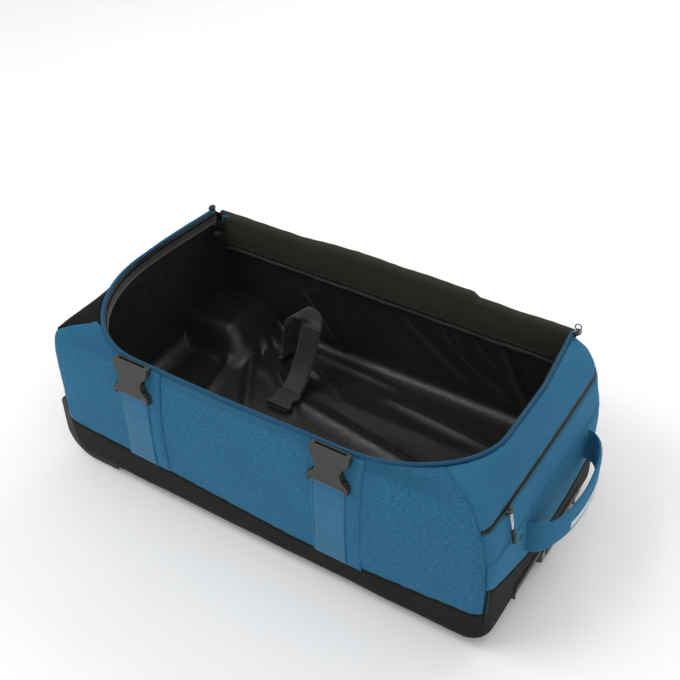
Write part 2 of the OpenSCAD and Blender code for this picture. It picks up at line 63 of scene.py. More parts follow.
TRAY_LO, TRAY_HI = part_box("base_tray")
PIPING_LO, PIPING_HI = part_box("rim_piping")
HALF_L, HALF_W, BASE_Z = TRAY_HI.x, TRAY_HI.y, TRAY_LO.z
RIM_Z = PIPING_LO.z
FAR_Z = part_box("lid_hinge_fabric")[0].z
FLOOR_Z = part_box("floor_board")[1].z + 1.2 * MM
ZIP_LO, ZIP_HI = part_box("pocket_zip")
RIM_LEFT, RIM_RIGHT, RIM_NEAR = PIPING_LO.x + 5 * MM, PIPING_HI.x - 5 * MM, PIPING_LO.y + 5 * MM
HOUSING_LO, HOUSING_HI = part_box("wheel_housing_right")
RECESS_LO, RECESS_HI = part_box("trolley_recess")


# ---------------------------------------------------------------- shape of the body

def smooth(a, b, x):
    t = np.clip((x - a) / (b - a), 0, 1)
    return t * t * (3 - 2 * t)


def round_in(z, r):
    """Inset of a wall near the floor, where its lower edge is rounded with radius r."""
    k = np.clip(r - (z - BASE_Z), 0, r)
    return r - np.sqrt(np.maximum(r * r - k * k, 0))


def bulge(z, size):
    """Outward belly of a fabric wall between the base and the rim."""
    return size * np.sin(math.pi * np.clip((z - BASE_Z) / (RIM_Z - BASE_Z), 0, 1))


def extents(z):
    """Left, right, near and far limits of the body at height z."""
    left = -HALF_L + round_in(z, 60 * MM) + 8 * MM * smooth(0.235, RIM_Z, z)
    lean = np.interp(z, [0.15, 0.178, 0.222, 0.245, RIM_Z], [0, 3 * MM, 12 * MM, 22 * MM, 38 * MM])
    right = HALF_L - round_in(z, 26 * MM) - lean
    near = -HALF_W + round_in(z, 26 * MM) + 4 * MM * smooth(0.2, RIM_Z, z)
    far = HALF_W - round_in(z, 26 * MM) - 2 * MM * smooth(0.2, RIM_Z, z)
    return left, right, near, far


CORNER_R = {"nl": 20 * MM, "nr": 30 * MM, "fr": 58 * MM, "fl": 40 * MM}


def contour(u, z):
    """Outline point at height z. u is 0 to 8: near side, corner, handle end, corner, far side, and on."""
    u, z = np.broadcast_arrays(np.asarray(u, float) % 8, np.asarray(z, float))
    xl, xr, yn, yf = extents(z)
    nl, nr, fr, fl = (CORNER_R[k] for k in ("nl", "nr", "fr", "fl"))
    k, f = np.floor(u).astype(int), u - np.floor(u)
    a = f * math.pi / 2
    mid = np.sin(math.pi * f)
    belly = bulge(z, 1.0)
    near_out = 7 * MM * belly * mid ** 0.6
    far_out = end_out = 3 * MM * belly * mid ** 0.6
    xs = [xl + nl + (xr - nr - xl - nl) * f, xr - nr + nr * np.sin(a), xr + end_out, xr - fr + fr * np.cos(a),
          xr - fr + (xl + fl - xr + fr) * f, xl + fl - fl * np.sin(a),
          xl - end_out * 0.6, xl + nl - nl * np.cos(a)]
    ys = [yn - near_out, yn + nr - nr * np.cos(a), yn + nr + (yf - fr - yn - nr) * f,
          yf - fr + fr * np.sin(a),
          yf + far_out, yf - fl + fl * np.cos(a), yf - fl + (yn + nl - yf + fl) * f, yn + nl - nl * np.sin(a)]
    return np.stack([np.choose(k, xs), np.choose(k, ys)], -1)


def arc(cx, cy, rx, ry, a0, a1, n):
    a = np.radians(np.linspace(a0, a1, n))
    return np.stack([cx + rx * np.cos(a), cy + ry * np.sin(a)], -1)


RIM_CORNERS = ((170 * MM, 212 * MM), (190 * MM, 140 * MM))
RIM_END_Y = 196 * MM
RIM_BOW_X, RIM_BOW_LENGTH = -60 * MM, 110 * MM       # the near side of the rim bows out and dips here


def rim_line():
    """Plan of the rim from its far-left end round the near side to its far-right end."""
    (lx, ly), (rx, ry) = RIM_CORNERS
    left = [[RIM_LEFT + 8 * MM, RIM_END_Y], [RIM_LEFT + 3 * MM, 120 * MM], [RIM_LEFT, 60 * MM]]
    right = [[RIM_RIGHT, 55 * MM], [RIM_RIGHT - 8 * MM, 125 * MM], [RIM_RIGHT - 16 * MM, RIM_END_Y]]
    pts = np.concatenate([left, arc(RIM_LEFT + lx, RIM_NEAR + ly, lx, ly, 180, 270, 26),
                          arc(RIM_RIGHT - rx, RIM_NEAR + ry, rx, ry, 270, 360, 26), right])
    pts[:, 1] -= np.where(pts[:, 1] < 0, rim_bow(pts[:, 0]), 0)
    return resample(pts, 260)


def rim_bow(x):
    """How far the near side of the rim stands out of its straight line at x."""
    return 6 * MM * rim_hump(x) - 3 * MM


def rim_hump(x):
    """1 in the middle of the rim's bow, dying out to 0 on both sides."""
    return np.exp(-((x - RIM_BOW_X) / RIM_BOW_LENGTH) ** 2)


def resample(pts, n):
    pts = np.asarray(pts, float)
    d = np.concatenate([[0], np.cumsum(np.linalg.norm(np.diff(pts, axis=0), axis=1))])
    t = np.linspace(0, d[-1], n)
    return np.stack([np.interp(t, d, pts[:, k]) for k in range(pts.shape[1])], -1)


RIM = rim_line()
SPINE = (-215 * MM, 130 * MM, 0.0)      # from x to x, at y


def rim_height(p):
    """Height of the rim at plan points p: it dips a little between the corners and towards the far side."""
    x, y = p[..., 0], p[..., 1]
    return RIM_Z + 1 * MM - 4 * MM * smooth(0, HALF_W, y) - 2.5 * MM * rim_hump(x) * (y < 0)


def wrapped(angle):
    """The same angle between -pi and pi."""
    return (angle + math.pi) % (2 * math.pi) - math.pi


def rim_of(p):
    """Rim point towards which the top surface runs from plan points p."""
    flat = p.reshape(-1, 2)
    centre = np.stack([np.clip(flat[:, 0], SPINE[0], SPINE[1]), np.full(len(flat), SPINE[2])], -1)
    want = np.arctan2(flat[:, 1] - centre[:, 1], flat[:, 0] - centre[:, 0])
    out = np.empty_like(flat)
    for i, (c, w) in enumerate(zip(centre, want)):
        a = np.arctan2(RIM[:, 1] - c[1], RIM[:, 0] - c[0])
        j = int(np.argmin(np.abs(wrapped(a - w))))
        best = RIM[j]
        for k in (j - 1, j + 1):
            if 0 <= k < len(RIM):
                g0, g1 = wrapped(a[j] - w), wrapped(a[k] - w)
                if g0 * g1 < 0:
                    f = g0 / (g0 - g1)
                    best = RIM[j] * (1 - f) + RIM[k] * f
        out[i] = best
    return out.reshape(p.shape)


EDGE_Z = np.array([258, 254, 240, 240, 256, 260, 262, 262, 258]) * MM


def edge_z(u):
    """Height at which the wall at u turns over into the top surface."""
    u = np.asarray(u, float) % 8
    k = np.floor(u).astype(int)
    f = smooth(0, 1, u - k)
    return EDGE_Z[k] * (1 - f) + EDGE_Z[k + 1] * f


def surface(u, h):
    """Outer surface. h from 0 to 1 climbs the wall; from 1 to 2 it crosses the top to the rim."""
    u, h = np.broadcast_arrays(np.asarray(u, float), np.asarray(h, float))
    ze = edge_z(u)
    z = BASE_Z + (ze - BASE_Z) * np.clip(h, 0, 1)
    wall = contour(u, z)
    out = np.concatenate([wall, z[..., None]], -1)
    top = h > 1
    if top.any():
        e = contour(u[top], ze[top])
        r = rim_of(e)
        f = np.clip(h[top] - 1, 0, 1)
        out[top, :2] = e + (r - e) * f[:, None]
        rise = np.sin(f * math.pi / 2) ** 0.92
        out[top, 2] = ze[top] + (rim_height(r) - ze[top]) * rise
    return out


def level(u, z):
    """h of the point at height z on the wall at u."""
    return (z - BASE_Z) / (edge_z(u) - BASE_Z)


def normals(P):
    """Unit normals of a grid of points."""
    du, dv = np.gradient(P, axis=0), np.gradient(P, axis=1)
    n = np.cross(du, dv)
    return n / np.maximum(np.linalg.norm(n, axis=-1, keepdims=True), 1e-12)


def ripple(P, size, seed=0.0):
    """Smooth noise from -1 to 1 at each point, with features of the given size in metres."""
    flat = P.reshape(-1, 3) / size + seed
    return np.array([noise.noise(Vector(p)) for p in flat]).reshape(P.shape[:-1])


# ---------------------------------------------------------------- meshes

def linked(name, data):
    """A new object in the scene."""
    obj = bpy.data.objects.new(name, data)
    bpy.context.scene.collection.objects.link(obj)
    return obj


def new_object(name, verts, faces, uvs=None):
    mesh = bpy.data.meshes.new(name)
    mesh.from_pydata([tuple(v) for v in verts], [], faces)
    if uvs is not None:
        layer = mesh.uv_layers.new(name="UVMap")
        index = np.empty(len(mesh.loops), int)
        mesh.loops.foreach_get("vertex_index", index)
        layer.data.foreach_set("uv", np.asarray(uvs, np.float32)[index].ravel())
    mesh.polygons.foreach_set("use_smooth", [True] * len(mesh.polygons))
    mesh.update()
    return linked(name, mesh)


def grid_faces(n, m, closed=False):
    rows = n if closed else n - 1
    return [(i * m + j, ((i + 1) % n) * m + j, ((i + 1) % n) * m + j + 1, i * m + j + 1)
            for i in range(rows) for j in range(m - 1)]


def lengths(P):
    """Distance of each grid point from the grid's first row, and from its first column."""
    n, m = P.shape[:2]
    across = np.concatenate([np.zeros((1, m)), np.cumsum(np.linalg.norm(np.diff(P, axis=0), axis=-1), 0)])
    down = np.concatenate([np.zeros((n, 1)), np.cumsum(np.linalg.norm(np.diff(P, axis=1), axis=-1), 1)], 1)
    return across, down


def grid_uv(P):
    """Lengths along both directions of a grid, in metres, measured from its middle row."""
    across, down = lengths(P)
    return np.stack([across - across[len(P) // 2][None, :], down], -1)


def grid_object(name, P, keep=None, closed=False):
    n, m = P.shape[:2]
    faces = grid_faces(n, m, closed)
    if keep is not None:
        flat = P.reshape(-1, 3)
        faces = [f for f in faces if keep(flat[list(f)].mean(0))]
    return new_object(name, P.reshape(-1, 3), faces, grid_uv(P).reshape(-1, 2))


def thicken(obj, t, offset=-1.0):
    mod = obj.modifiers.new("thickness", "SOLIDIFY")
    mod.thickness, mod.offset, mod.use_even_offset = t, offset, False
    return obj


def bevel(obj, width, segments=2):
    mod = obj.modifiers.new("edges", "BEVEL")
    mod.width, mod.segments, mod.limit_method = width, segments, "ANGLE"
    mod.angle_limit = math.radians(35)
    mod.harden_normals = True
    return obj


def edge_distance(P):
    """Distance of each grid point from the nearest edge of its panel."""
    across, down = lengths(P)
    return np.minimum(np.minimum(across, across[-1:] - across), np.minimum(down, down[:, -1:] - down))


def sewn(P, pucker=0.7 * MM, seed=0.0):
    """Pulls a panel's edges in at its seams, and puckers it beside them."""
    d = edge_distance(P)
    near = np.exp(-d / (14 * MM))
    depth = -2 * MM * (1 - smooth(0, 6 * MM, d)) + pucker * near * ripple(P, 11 * MM, seed) * 1.4
    soft = 1.3 * MM * ripple(P, 70 * MM, seed + 5) * smooth(0, 30 * MM, d)
    return P + normals(P) * (depth + soft)[..., None]


def tube(name, pts, radius, n=12, closed=False, flat=1.0, up=(0, 0, 1)):
    """Round (or flattened) tube along points."""
    pts = np.asarray(pts, float)
    tangent = np.gradient(pts, axis=0)
    if closed:
        tangent = np.roll(pts, -1, 0) - np.roll(pts, 1, 0)
    tangent /= np.maximum(np.linalg.norm(tangent, axis=1, keepdims=True), 1e-12)
    side = np.cross(tangent, np.asarray(up, float))
    side /= np.maximum(np.linalg.norm(side, axis=1, keepdims=True), 1e-12)
    rise = np.cross(side, tangent)
    a = np.linspace(0, 2 * math.pi, n, endpoint=False)
    r = np.broadcast_to(np.asarray(radius, float), (len(pts),))[:, None, None]
    ring = pts[:, None, :] + r * (side[:, None, :] * np.cos(a)[None, :, None] +
                                  rise[:, None, :] * np.sin(a)[None, :, None] * flat)
    count = len(pts)
    faces = []
    for i in range(count if closed else count - 1):
        after = (i + 1) % count
        for j in range(n):
            faces.append((i * n + j, i * n + (j + 1) % n, after * n + (j + 1) % n, after * n + j))
    if not closed:
        faces += [tuple(range(n))[::-1], tuple((count - 1) * n + j for j in range(n))]
    length = np.concatenate([[0], np.cumsum(np.linalg.norm(np.diff(pts, axis=0), axis=1))])
    girth = np.linspace(0, 2 * math.pi, n) * float(np.mean(r))
    uv = np.stack([np.repeat(length, n), np.tile(girth, count)], -1)
    return new_object(name, ring.reshape(-1, 3), faces, uv)


def repeated(name, places, shape):
    """Many copies of a small solid as one object: shape is (verts, faces), places are (origin, x, y, z)."""
    verts, faces = np.asarray(shape[0], float), shape[1]
    all_v, all_f = [], []
    for k, (o, x, y, z) in enumerate(places):
        base = np.stack([x, y, z])
        all_v.append(np.asarray(o) + verts @ base)
        all_f += [tuple(i + k * len(verts) for i in f) for f in faces]
    return new_object(name, np.concatenate(all_v), all_f)


def pill(length, width, height):
    """Small rounded bar lying along x: a stitch or a zip tooth."""
    l, w, h = length / 2, width / 2, height
    sections = [(-l, 0.25), (-l * 0.8, 0.75), (-l * 0.45, 1), (l * 0.45, 1), (l * 0.8, 0.75), (l, 0.25)]
    ring = [(-1, -0.4), (-0.7, 0.55), (0, 1), (0.7, 0.55), (1, -0.4), (0, -0.8)]
    verts = [(x, y * w * s, z * h * s) for x, s in sections for y, z in ring]
    n = len(ring)
    faces = [(i * n + j, i * n + (j + 1) % n, (i + 1) * n + (j + 1) % n, (i + 1) * n + j)
             for i in range(len(sections) - 1) for j in range(n)]
    return verts, faces + [tuple(range(n))[::-1], tuple((len(sections) - 1) * n + j for j in range(n))]


def along(pts, pitch):
    """Evenly spaced points and unit tangents along a line."""
    pts = np.asarray(pts, float)
    total = np.linalg.norm(np.diff(pts, axis=0), axis=1).sum()
    p = resample(pts, max(int(total / pitch), 3))
    t = np.gradient(p, axis=0)
    return p, t / np.maximum(np.linalg.norm(t, axis=1, keepdims=True), 1e-12)


def stitches(name, lines, pitch=4.2 * MM, length=3.0 * MM, width=0.55 * MM):
    """Rows of stitches. lines is a list of (points, outward normals)."""
    places = []
    for pts, nor in lines:
        p, t = along(pts, pitch)
        n = resample(np.asarray(nor, float), len(p))
        for o, x, z in zip(p, t, n):
            z = z - x * (z @ x)
            z /= max(np.linalg.norm(z), 1e-9)
            places.append((o, x, np.cross(z, x), z))
    return repeated(name, places, pill(length, width, width * 0.7))


def surface_line(us, hs, lift=0.4 * MM, n=200):
    """Points on the body along a line of (u, h), with outward normals."""
    u = np.interp(np.linspace(0, 1, n), np.linspace(0, 1, len(us)), us)
    h = np.interp(np.linspace(0, 1, n), np.linspace(0, 1, len(hs)), hs)
    e = 1e-3
    p = surface(u, h)
    du = surface(u + e, h) - surface(u - e, h)
    dh = surface(u, np.minimum(h + e, 2)) - surface(u, np.maximum(h - e, 0))
    nor = np.cross(du, dh)
    nor /= np.maximum(np.linalg.norm(nor, axis=1, keepdims=True), 1e-12)
    return p + nor * lift, nor


# ---------------------------------------------------------------- materials

class Surface:
    """A Principled material under construction, with short names for its nodes."""

    def __init__(self, name, coords="UV", **fixed):
        self.mat = bpy.data.materials.new(name)
        self.mat.use_nodes = True
        self.tree = self.mat.node_tree
        self.shader = next(n for n in self.tree.nodes if n.type == "BSDF_PRINCIPLED")
        for key, value in fixed.items():
            self.shader.inputs[key.replace("_", " ")].default_value = value
        self.place = self.add("ShaderNodeTexCoord").outputs[coords]
        self.normal = None

    def add(self, kind, settings=None, **inputs):
        node = self.tree.nodes.new(kind)
        for key, value in (settings or {}).items():
            setattr(node, key, value)
        for key, value in inputs.items():
            socket = node.inputs[int(key[1:])] if key[0] == "_" and key[1:].isdigit() else node.inputs[key]
            if isinstance(value, bpy.types.NodeSocket):
                self.tree.links.new(value, socket)
            else:
                socket.default_value = value
        return node

    def math(self, op, a, b=0.0):
        return self.add("ShaderNodeMath", {"operation": op}, _0=a, _1=b).outputs[0]

    def scaled(self, x=1.0, y=1.0, z=1.0, turn=0.0):
        return self.add("ShaderNodeMapping", Vector=self.place, Scale=(x, y, z),
                        Rotation=(0, 0, math.radians(turn))).outputs[0]

    def noise(self, scale, detail=3.0, rough=0.55, vector=None, distortion=0.0):
        return self.add("ShaderNodeTexNoise", Vector=vector or self.place, Scale=scale, Detail=detail,
                        Roughness=rough, Distortion=distortion).outputs["Fac"]

    def wave(self, scale, vector=None, direction="X"):
        return self.add("ShaderNodeTexWave", {"bands_direction": direction, "wave_profile": "SIN"},
                        Vector=vector or self.place, Scale=scale, Distortion=0.0).outputs["Fac"]

    def mix(self, factor, a, b):
        node = self.add("ShaderNodeMix", {"data_type": "RGBA", "blend_type": "MIX"}, _0=factor)
        for socket, value in ((node.inputs[6], a), (node.inputs[7], b)):
            if isinstance(value, bpy.types.NodeSocket):
                self.tree.links.new(value, socket)
            else:
                socket.default_value = (*value, 1)
        return node.outputs[2]

    def map(self, value, low, high, a=0.0, b=1.0):
        return self.add("ShaderNodeMapRange", Value=value, _1=a, _2=b, _3=low, _4=high).outputs[0]

    def bump(self, height, distance, strength=1.0):
        inputs = {"Height": height, "Distance": distance, "Strength": strength}
        if self.normal is not None:
            inputs["Normal"] = self.normal
        self.normal = self.add("ShaderNodeBump", **inputs).outputs[0]

    def done(self, colour, rough):
        for key, value in (("Base Color", colour), ("Roughness", rough)):
            self.tree.links.new(value, self.shader.inputs[key])
        if self.normal is not None:
            self.tree.links.new(self.normal, self.shader.inputs["Normal"])
        return self.mat


def srgb(r, g, b):
    return tuple(((v / 255 + 0.055) / 1.055) ** 2.4 if v > 10 else v / 255 / 12.92 for v in (r, g, b))


def shade(colour, k):
    return tuple(min(c * k, 1) for c in colour)


BLUE = srgb(34, 94, 126)
BLUE_SMOOTH = srgb(38, 102, 136)
BLUE_DARK = srgb(26, 76, 106)
BLUE_WEB = srgb(30, 98, 132)
BLACK_CLOTH = srgb(20, 21, 18)
BLACK_BASE = srgb(26, 28, 23)
SATIN = srgb(21, 21, 18)
FIBRE_WAVE = 20 / (2 * math.pi)       # a wave texture repeats every 1 / (scale * FIBRE_WAVE)


def woven(name, colour, thread, mottled=0.25, diamond=False, relief=0.25 * MM, rough=(0.72, 0.9), sheen=0.35,
          light=1.35, shine=0.25):
    """Woven cloth: crossing threads, paler flecks, soft mottling and a dusty sheen."""
    s = Surface(name, "UV", Sheen_Weight=sheen, Sheen_Roughness=0.45, Specular_IOR_Level=shine)
    s.shader.inputs["Sheen Tint"].default_value = (*shade(colour, 3.0), 1)
    k = 1 / (thread * FIBRE_WAVE)
    if diamond:
        a = s.wave(k, s.scaled(turn=28))
        b = s.wave(k, s.scaled(turn=-28))
        fleck = s.noise(1.0, 2.0, vector=s.scaled(1 / (6 * thread), 1 / (1.4 * thread), 1 / thread))
    else:
        a, b = s.wave(k), s.wave(k, direction="Y")
        fleck = s.noise(1.0, 2.0, vector=s.scaled(1 / (3 * thread), 1 / (1.3 * thread), 1 / thread))
    weave = s.math("MULTIPLY", a, b)
    large = s.noise(9.0, 4.0)
    base = s.mix(s.map(weave, 0.0, 1.0), shade(colour, 0.62), shade(colour, light))
    fleck = s.map(fleck, 0.0, 1.0, 0.42, 0.66)
    tone = s.mix(s.math("MULTIPLY", fleck, mottled), base, shade(colour, 1.9))
    tone = s.mix(s.map(large, 0.0, 0.3, 0.35, 0.75), tone, shade(colour, 0.6))
    height = s.math("ADD", weave, s.math("MULTIPLY", fleck, 0.4))
    s.bump(s.noise(26.0, 3.0), 1.6 * MM, 0.5)
    s.bump(height, relief)
    return s.done(tone, s.map(large, *rough))


def moulded(name, colour, rough=0.5, grain=1.0, wear=0.5, coat=0.0, scratch=0.25):
    """Moulded plastic: fine grain, faint flow marks, scuffs and paler worn edges."""
    s = Surface(name, "Object", Specular_IOR_Level=0.5, Coat_Weight=coat)
    fine = s.noise(1400.0, 2.0)
    flow = s.noise(35.0, 4.0)
    scuff = s.noise(1.0, 3.0, vector=s.scaled(60, 420, 160), distortion=0.6)
    edge = s.add("ShaderNodeNewGeometry").outputs["Pointiness"]
    worn = s.math("MULTIPLY", s.map(edge, 0.0, 1.0, 0.51, 0.56), s.map(flow, 0.2, 1.0, 0.4, 0.65))
    tone = s.mix(s.map(flow, 0.0, 0.5, 0.35, 0.7), colour, shade(colour, 0.75))
    tone = s.mix(s.math("MULTIPLY", s.map(scuff, 0.0, 1.0, 0.6, 0.75), scratch), tone, shade(colour, 1.9))
    tone = s.mix(s.math("MULTIPLY", worn, wear), tone, shade(colour, 2.4))
    s.bump(fine, 0.06 * MM, grain)
    s.bump(scuff, 0.04 * MM, 0.5)
    return s.done(tone, s.map(s.math("ADD", flow, fine), rough - 0.1, rough + 0.12, 0.6, 1.4))


def metal(name, colour, rough=0.3, stretch=(8, 900, 900)):
    """Drawn or ground metal with fine lines along its length."""
    s = Surface(name, "Object", Metallic=1.0)
    lines = s.noise(1.0, 3.0, vector=s.scaled(*stretch))
    haze = s.noise(45.0, 4.0)
    tone = s.mix(s.map(lines, 0.0, 0.5, 0.4, 0.6), colour, shade(colour, 0.8))
    s.bump(lines, 0.02 * MM, 0.6)
    return s.done(tone, s.map(haze, rough - 0.08, rough + 0.14, 0.35, 0.7))


def satin(name, colour):
    """Thin shiny lining: fine plain weave, creases and streaks across the light."""
    s = Surface(name, "UV", Specular_IOR_Level=0.42, Sheen_Weight=0.05, Anisotropic=0.35)
    a, b = s.wave(1 / (0.9 * MM * FIBRE_WAVE)), s.wave(1 / (0.9 * MM * FIBRE_WAVE), direction="Y")
    weave = s.math("MULTIPLY", a, b)
    crease = s.noise(16.0, 5.0, 0.6, distortion=0.8)
    streak = s.noise(1.0, 4.0, vector=s.scaled(40, 260, 100))
    tone = s.mix(s.map(streak, 0.0, 0.5, 0.4, 0.65), colour, shade(colour, 0.7))
    tone = s.mix(s.math("MULTIPLY", weave, 0.2), tone, shade(colour, 1.6))
    s.bump(crease, 2.2 * MM, 0.55)
    s.bump(weave, 0.06 * MM, 0.6)
    return s.done(tone, s.map(s.math("ADD", crease, streak), 0.3, 0.5, 0.7, 1.3))


def thread_like(name, colour, pitch, rough=0.6, relief=0.2 * MM, coords="UV", turn=45, sheen=0.25):
    """Twisted or twilled yarn: slanting ribs with darker grooves."""
    s = Surface(name, coords, Sheen_Weight=sheen, Specular_IOR_Level=0.3)
    ribs = s.wave(1 / (pitch * FIBRE_WAVE), s.scaled(turn=turn))
    rows = s.wave(1 / (pitch * 1.8 * FIBRE_WAVE), direction="X")
    fuzz = s.noise(700.0, 2.0)
    soft = s.noise(14.0, 3.0)
    height = s.math("ADD", s.math("MULTIPLY", ribs, 0.6), s.math("MULTIPLY", rows, 0.4))
    tone = s.mix(height, shade(colour, 0.6), shade(colour, 1.25))
    tone = s.mix(s.map(s.math("ADD", fuzz, soft), 0.0, 0.4, 0.8, 1.3), tone, shade(colour, 1.5))
    s.bump(height, relief)
    return s.done(tone, s.map(soft, rough - 0.08, rough + 0.12, 0.3, 0.7))


MAT = {
    "blue": woven("two_tone_weave", BLUE, 1.3 * MM, mottled=0.5, diamond=True),
    "blue_smooth": woven("plain_blue_weave", BLUE_SMOOTH, 0.8 * MM, mottled=0.22, relief=0.14 * MM),
    "blue_web": thread_like("blue_webbing", BLUE_WEB, 1.6 * MM, sheen=0.08),
    "blue_piping": woven("piping_cloth", BLUE_DARK, 0.8 * MM, mottled=0.15, relief=0.12 * MM),
    "black_cloth": woven("black_weave", BLACK_CLOTH, 1.0 * MM, mottled=0.2, relief=0.16 * MM, light=1.2,
                         sheen=0.04, shine=0.12),
    "base": woven("coated_base", BLACK_BASE, 1.1 * MM, mottled=0.15, relief=0.12 * MM, rough=(0.55, 0.75),
                  light=1.15, sheen=0.02, shine=0.12),
    # painted light: the facing is dark cloth, given a paler colour here to stand in for the light that the lamps do
    # not bring to the far wall
    "facing": woven("facing_weave_painted_light", srgb(52, 53, 46), 0.9 * MM, mottled=0.2, relief=0.14 * MM, light=1.2,
                    sheen=0.12, shine=0.12),
    "satin": satin("satin_lining", SATIN),
    "black_web": thread_like("black_webbing", srgb(25, 26, 23), 1.4 * MM, rough=0.5),
    "binding": thread_like("grosgrain_binding", srgb(15, 16, 14), 0.9 * MM, rough=0.55, turn=90),
    "buckle": moulded("acetal", srgb(38, 40, 36), rough=0.42, grain=0.7),
    "guard": moulded("guard_polypropylene", srgb(20, 21, 19), rough=0.55, wear=0.3),
    "recess": moulded("recess_polypropylene", srgb(36, 37, 33), rough=0.45, grain=0.8),
    "grip": moulded("smooth_nylon", srgb(24, 25, 24), rough=0.24, grain=0.2, coat=0.3),
    "button": moulded("button_acetal", srgb(48, 49, 48), rough=0.5),
    "rubber": moulded("soft_rubber", srgb(26, 27, 27), rough=0.62, wear=0.2),
    "hub": moulded("hub_nylon", srgb(60, 62, 62), rough=0.45),
    "board": moulded("polypropylene_sheet", srgb(70, 70, 66), rough=0.6),
    "tyre": moulded("polyurethane", srgb(20, 21, 20), rough=0.55, grain=1.4, scratch=0.5),
    "zip": moulded("enamelled_zip", srgb(20, 21, 19), rough=0.32, grain=0.3, coat=0.2),
    "zip_tape": thread_like("zip_tape", srgb(16, 17, 15), 0.9 * MM, rough=0.6),
    "coil": moulded("zip_coil", srgb(26, 27, 25), rough=0.35, grain=0.2),
    "cord": thread_like("braided_cord", srgb(188, 192, 192), 1.2 * MM, coords="Object"),
    "reflective": thread_like("reflective_tape", srgb(176, 190, 198), 0.7 * MM, rough=0.35, relief=0.05 * MM,
                              turn=0),
    "blue_thread": thread_like("blue_thread", srgb(46, 122, 158), 0.5 * MM, coords="Object"),
    "dark_thread": thread_like("dark_thread", srgb(26, 27, 25), 0.5 * MM, coords="Object"),
    "aluminium": metal("drawn_aluminium", srgb(196, 200, 203), 0.3),
    "steel": metal("ground_steel", srgb(180, 182, 184), 0.25, (500, 60, 500)),
}


def dress(obj, material, body="bag", replaces=()):
    """Gives a piece its material, hides the nodes it replaces, and parents it to its body unless body is empty."""
    obj.data.materials.clear()
    obj.data.materials.append(MAT[material])
    if body:
        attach(obj, body)
    if replaces:
        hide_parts(*replaces)
    return obj


def node_finish(names, material, width=0.6 * MM, segments=2):
    """Gives carried-over nodes their material, with softened edges."""
    for name in names:
        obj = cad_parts[name]
        for k in range(max(len(obj.data.materials), 1)):
            if k < len(obj.data.materials):
                obj.data.materials[k] = MAT[material]
            else:
                obj.data.materials.append(MAT[material])
        if width:
            bevel(obj, width, segments)


# ---------------------------------------------------------------- body panels

BAND_STEPS = ((-0.38, 85), (-0.19, 84), (-0.137, 79), (0.08, 65), (0.187, 66), (0.34, 76))
CORNER_SEAM = 1.55                    # u of the seam between the front and the handle end
FAR_SEAM = 3.62                       # u of the seam between the handle end and the far side
WHEEL_SEAM = 5.35                     # u of the seam between the far side and the wheel end
LOWER_SEAM_Z = 0.177
ZIP_Z = (ZIP_LO.z + ZIP_HI.z) / 2
ZIP_GAP = 2 * MM                      # the cloth stops this far from the middle of the pocket zip


def band_top(u):
    """Height of the top of the base band at u."""
    u = np.asarray(u, float) % 8
    x = contour(u, 0.09)[..., 0]
    y = contour(u, 0.09)[..., 1]
    xs, zs = zip(*BAND_STEPS)
    side = np.interp(x, xs, np.array(zs) * MM)
    end = np.interp(y, [-0.2, -0.06, 0.06, 0.2], np.array([123, 77, 77, 96]) * MM)
    return np.where((u > CORNER_SEAM) & (u < FAR_SEAM), end, np.where(u > 4.5, 0.085, side))


def panel_points(left, right, low, high, n, m):
    """Grid of a panel whose side edges are u = left(t), right(t) and whose ends are h = low(u), high(u)."""
    s, t = np.meshgrid(np.linspace(0, 1, n), np.linspace(0, 1, m), indexing="ij")
    u = left(t) + (right(t) - left(t)) * s
    h = low(u) + (high(u) - low(u)) * t
    u = left(h) + (right(h) - left(h)) * s
    return surface(u, h), u, h


def fixed(value):
    return lambda t: np.full_like(np.asarray(t, float), value)


def front_left(h):
    return -0.74 + 0.78 * smooth(1.0, 2.0, h)


def front_right(h):
    return CORNER_SEAM - 0.42 * smooth(1.0, 2.0, h)


def shell(name, material, left, right, low, high, n, m, replaces=(), seed=0.0, wall=3 * MM, keep=None,
          pucker=0.7 * MM):
    P, _, _ = panel_points(left, right, low, high, n, m)
    obj = grid_object(name, sewn(P, pucker, seed), keep)
    thicken(obj, wall)
    return dress(obj, material, replaces=replaces)


def band_level(u):
    return level(u, band_top(u))


def body_panels():
    shell("front_panel_cloth", "blue", front_left, front_right, band_level, fixed(2.0),
          300, 90, ["front_panel"], seed=1.0)
    shell("handle_end_lower_cloth", "blue_smooth", fixed(CORNER_SEAM), fixed(FAR_SEAM),
          band_level, lambda u: level(u, LOWER_SEAM_Z), 150, 34, ["handle_end_panel"], seed=2.0)
    shell("handle_end_middle_cloth", "blue_smooth", fixed(CORNER_SEAM), fixed(FAR_SEAM),
          lambda u: level(u, LOWER_SEAM_Z), lambda u: level(u, ZIP_Z - ZIP_GAP), 150, 24, seed=3.0)
    shell("handle_end_shoulder_cloth", "blue_smooth", front_right, fixed(FAR_SEAM),
          lambda u: level(u, ZIP_Z + ZIP_GAP), fixed(2.0), 150, 40, ["handle_end_shoulder"], seed=4.0)
    shell("far_panel_cloth", "blue", fixed(FAR_SEAM), fixed(WHEEL_SEAM), band_level,
          fixed(1.0), 200, 60, ["far_panel"], seed=5.0)
    shell("wheel_end_cloth", "black_cloth", fixed(WHEEL_SEAM), lambda h: 8 + front_left(h),
          band_level, fixed(2.0), 200, 80, ["wheel_end_panel"], seed=6.0)


HOUSING_CUT_Z, HOUSING_FACE_CUT_Z = 0.09, 0.115   # tops of the cuts for the housings: side, wheel end
GRIP_CUT = (30 * MM, 109 * MM, 38 * MM)            # the grip's cut: depth, half width, height
FINGER_CUT = (86 * MM, 30 * MM)                    # the finger room behind it: half width, height


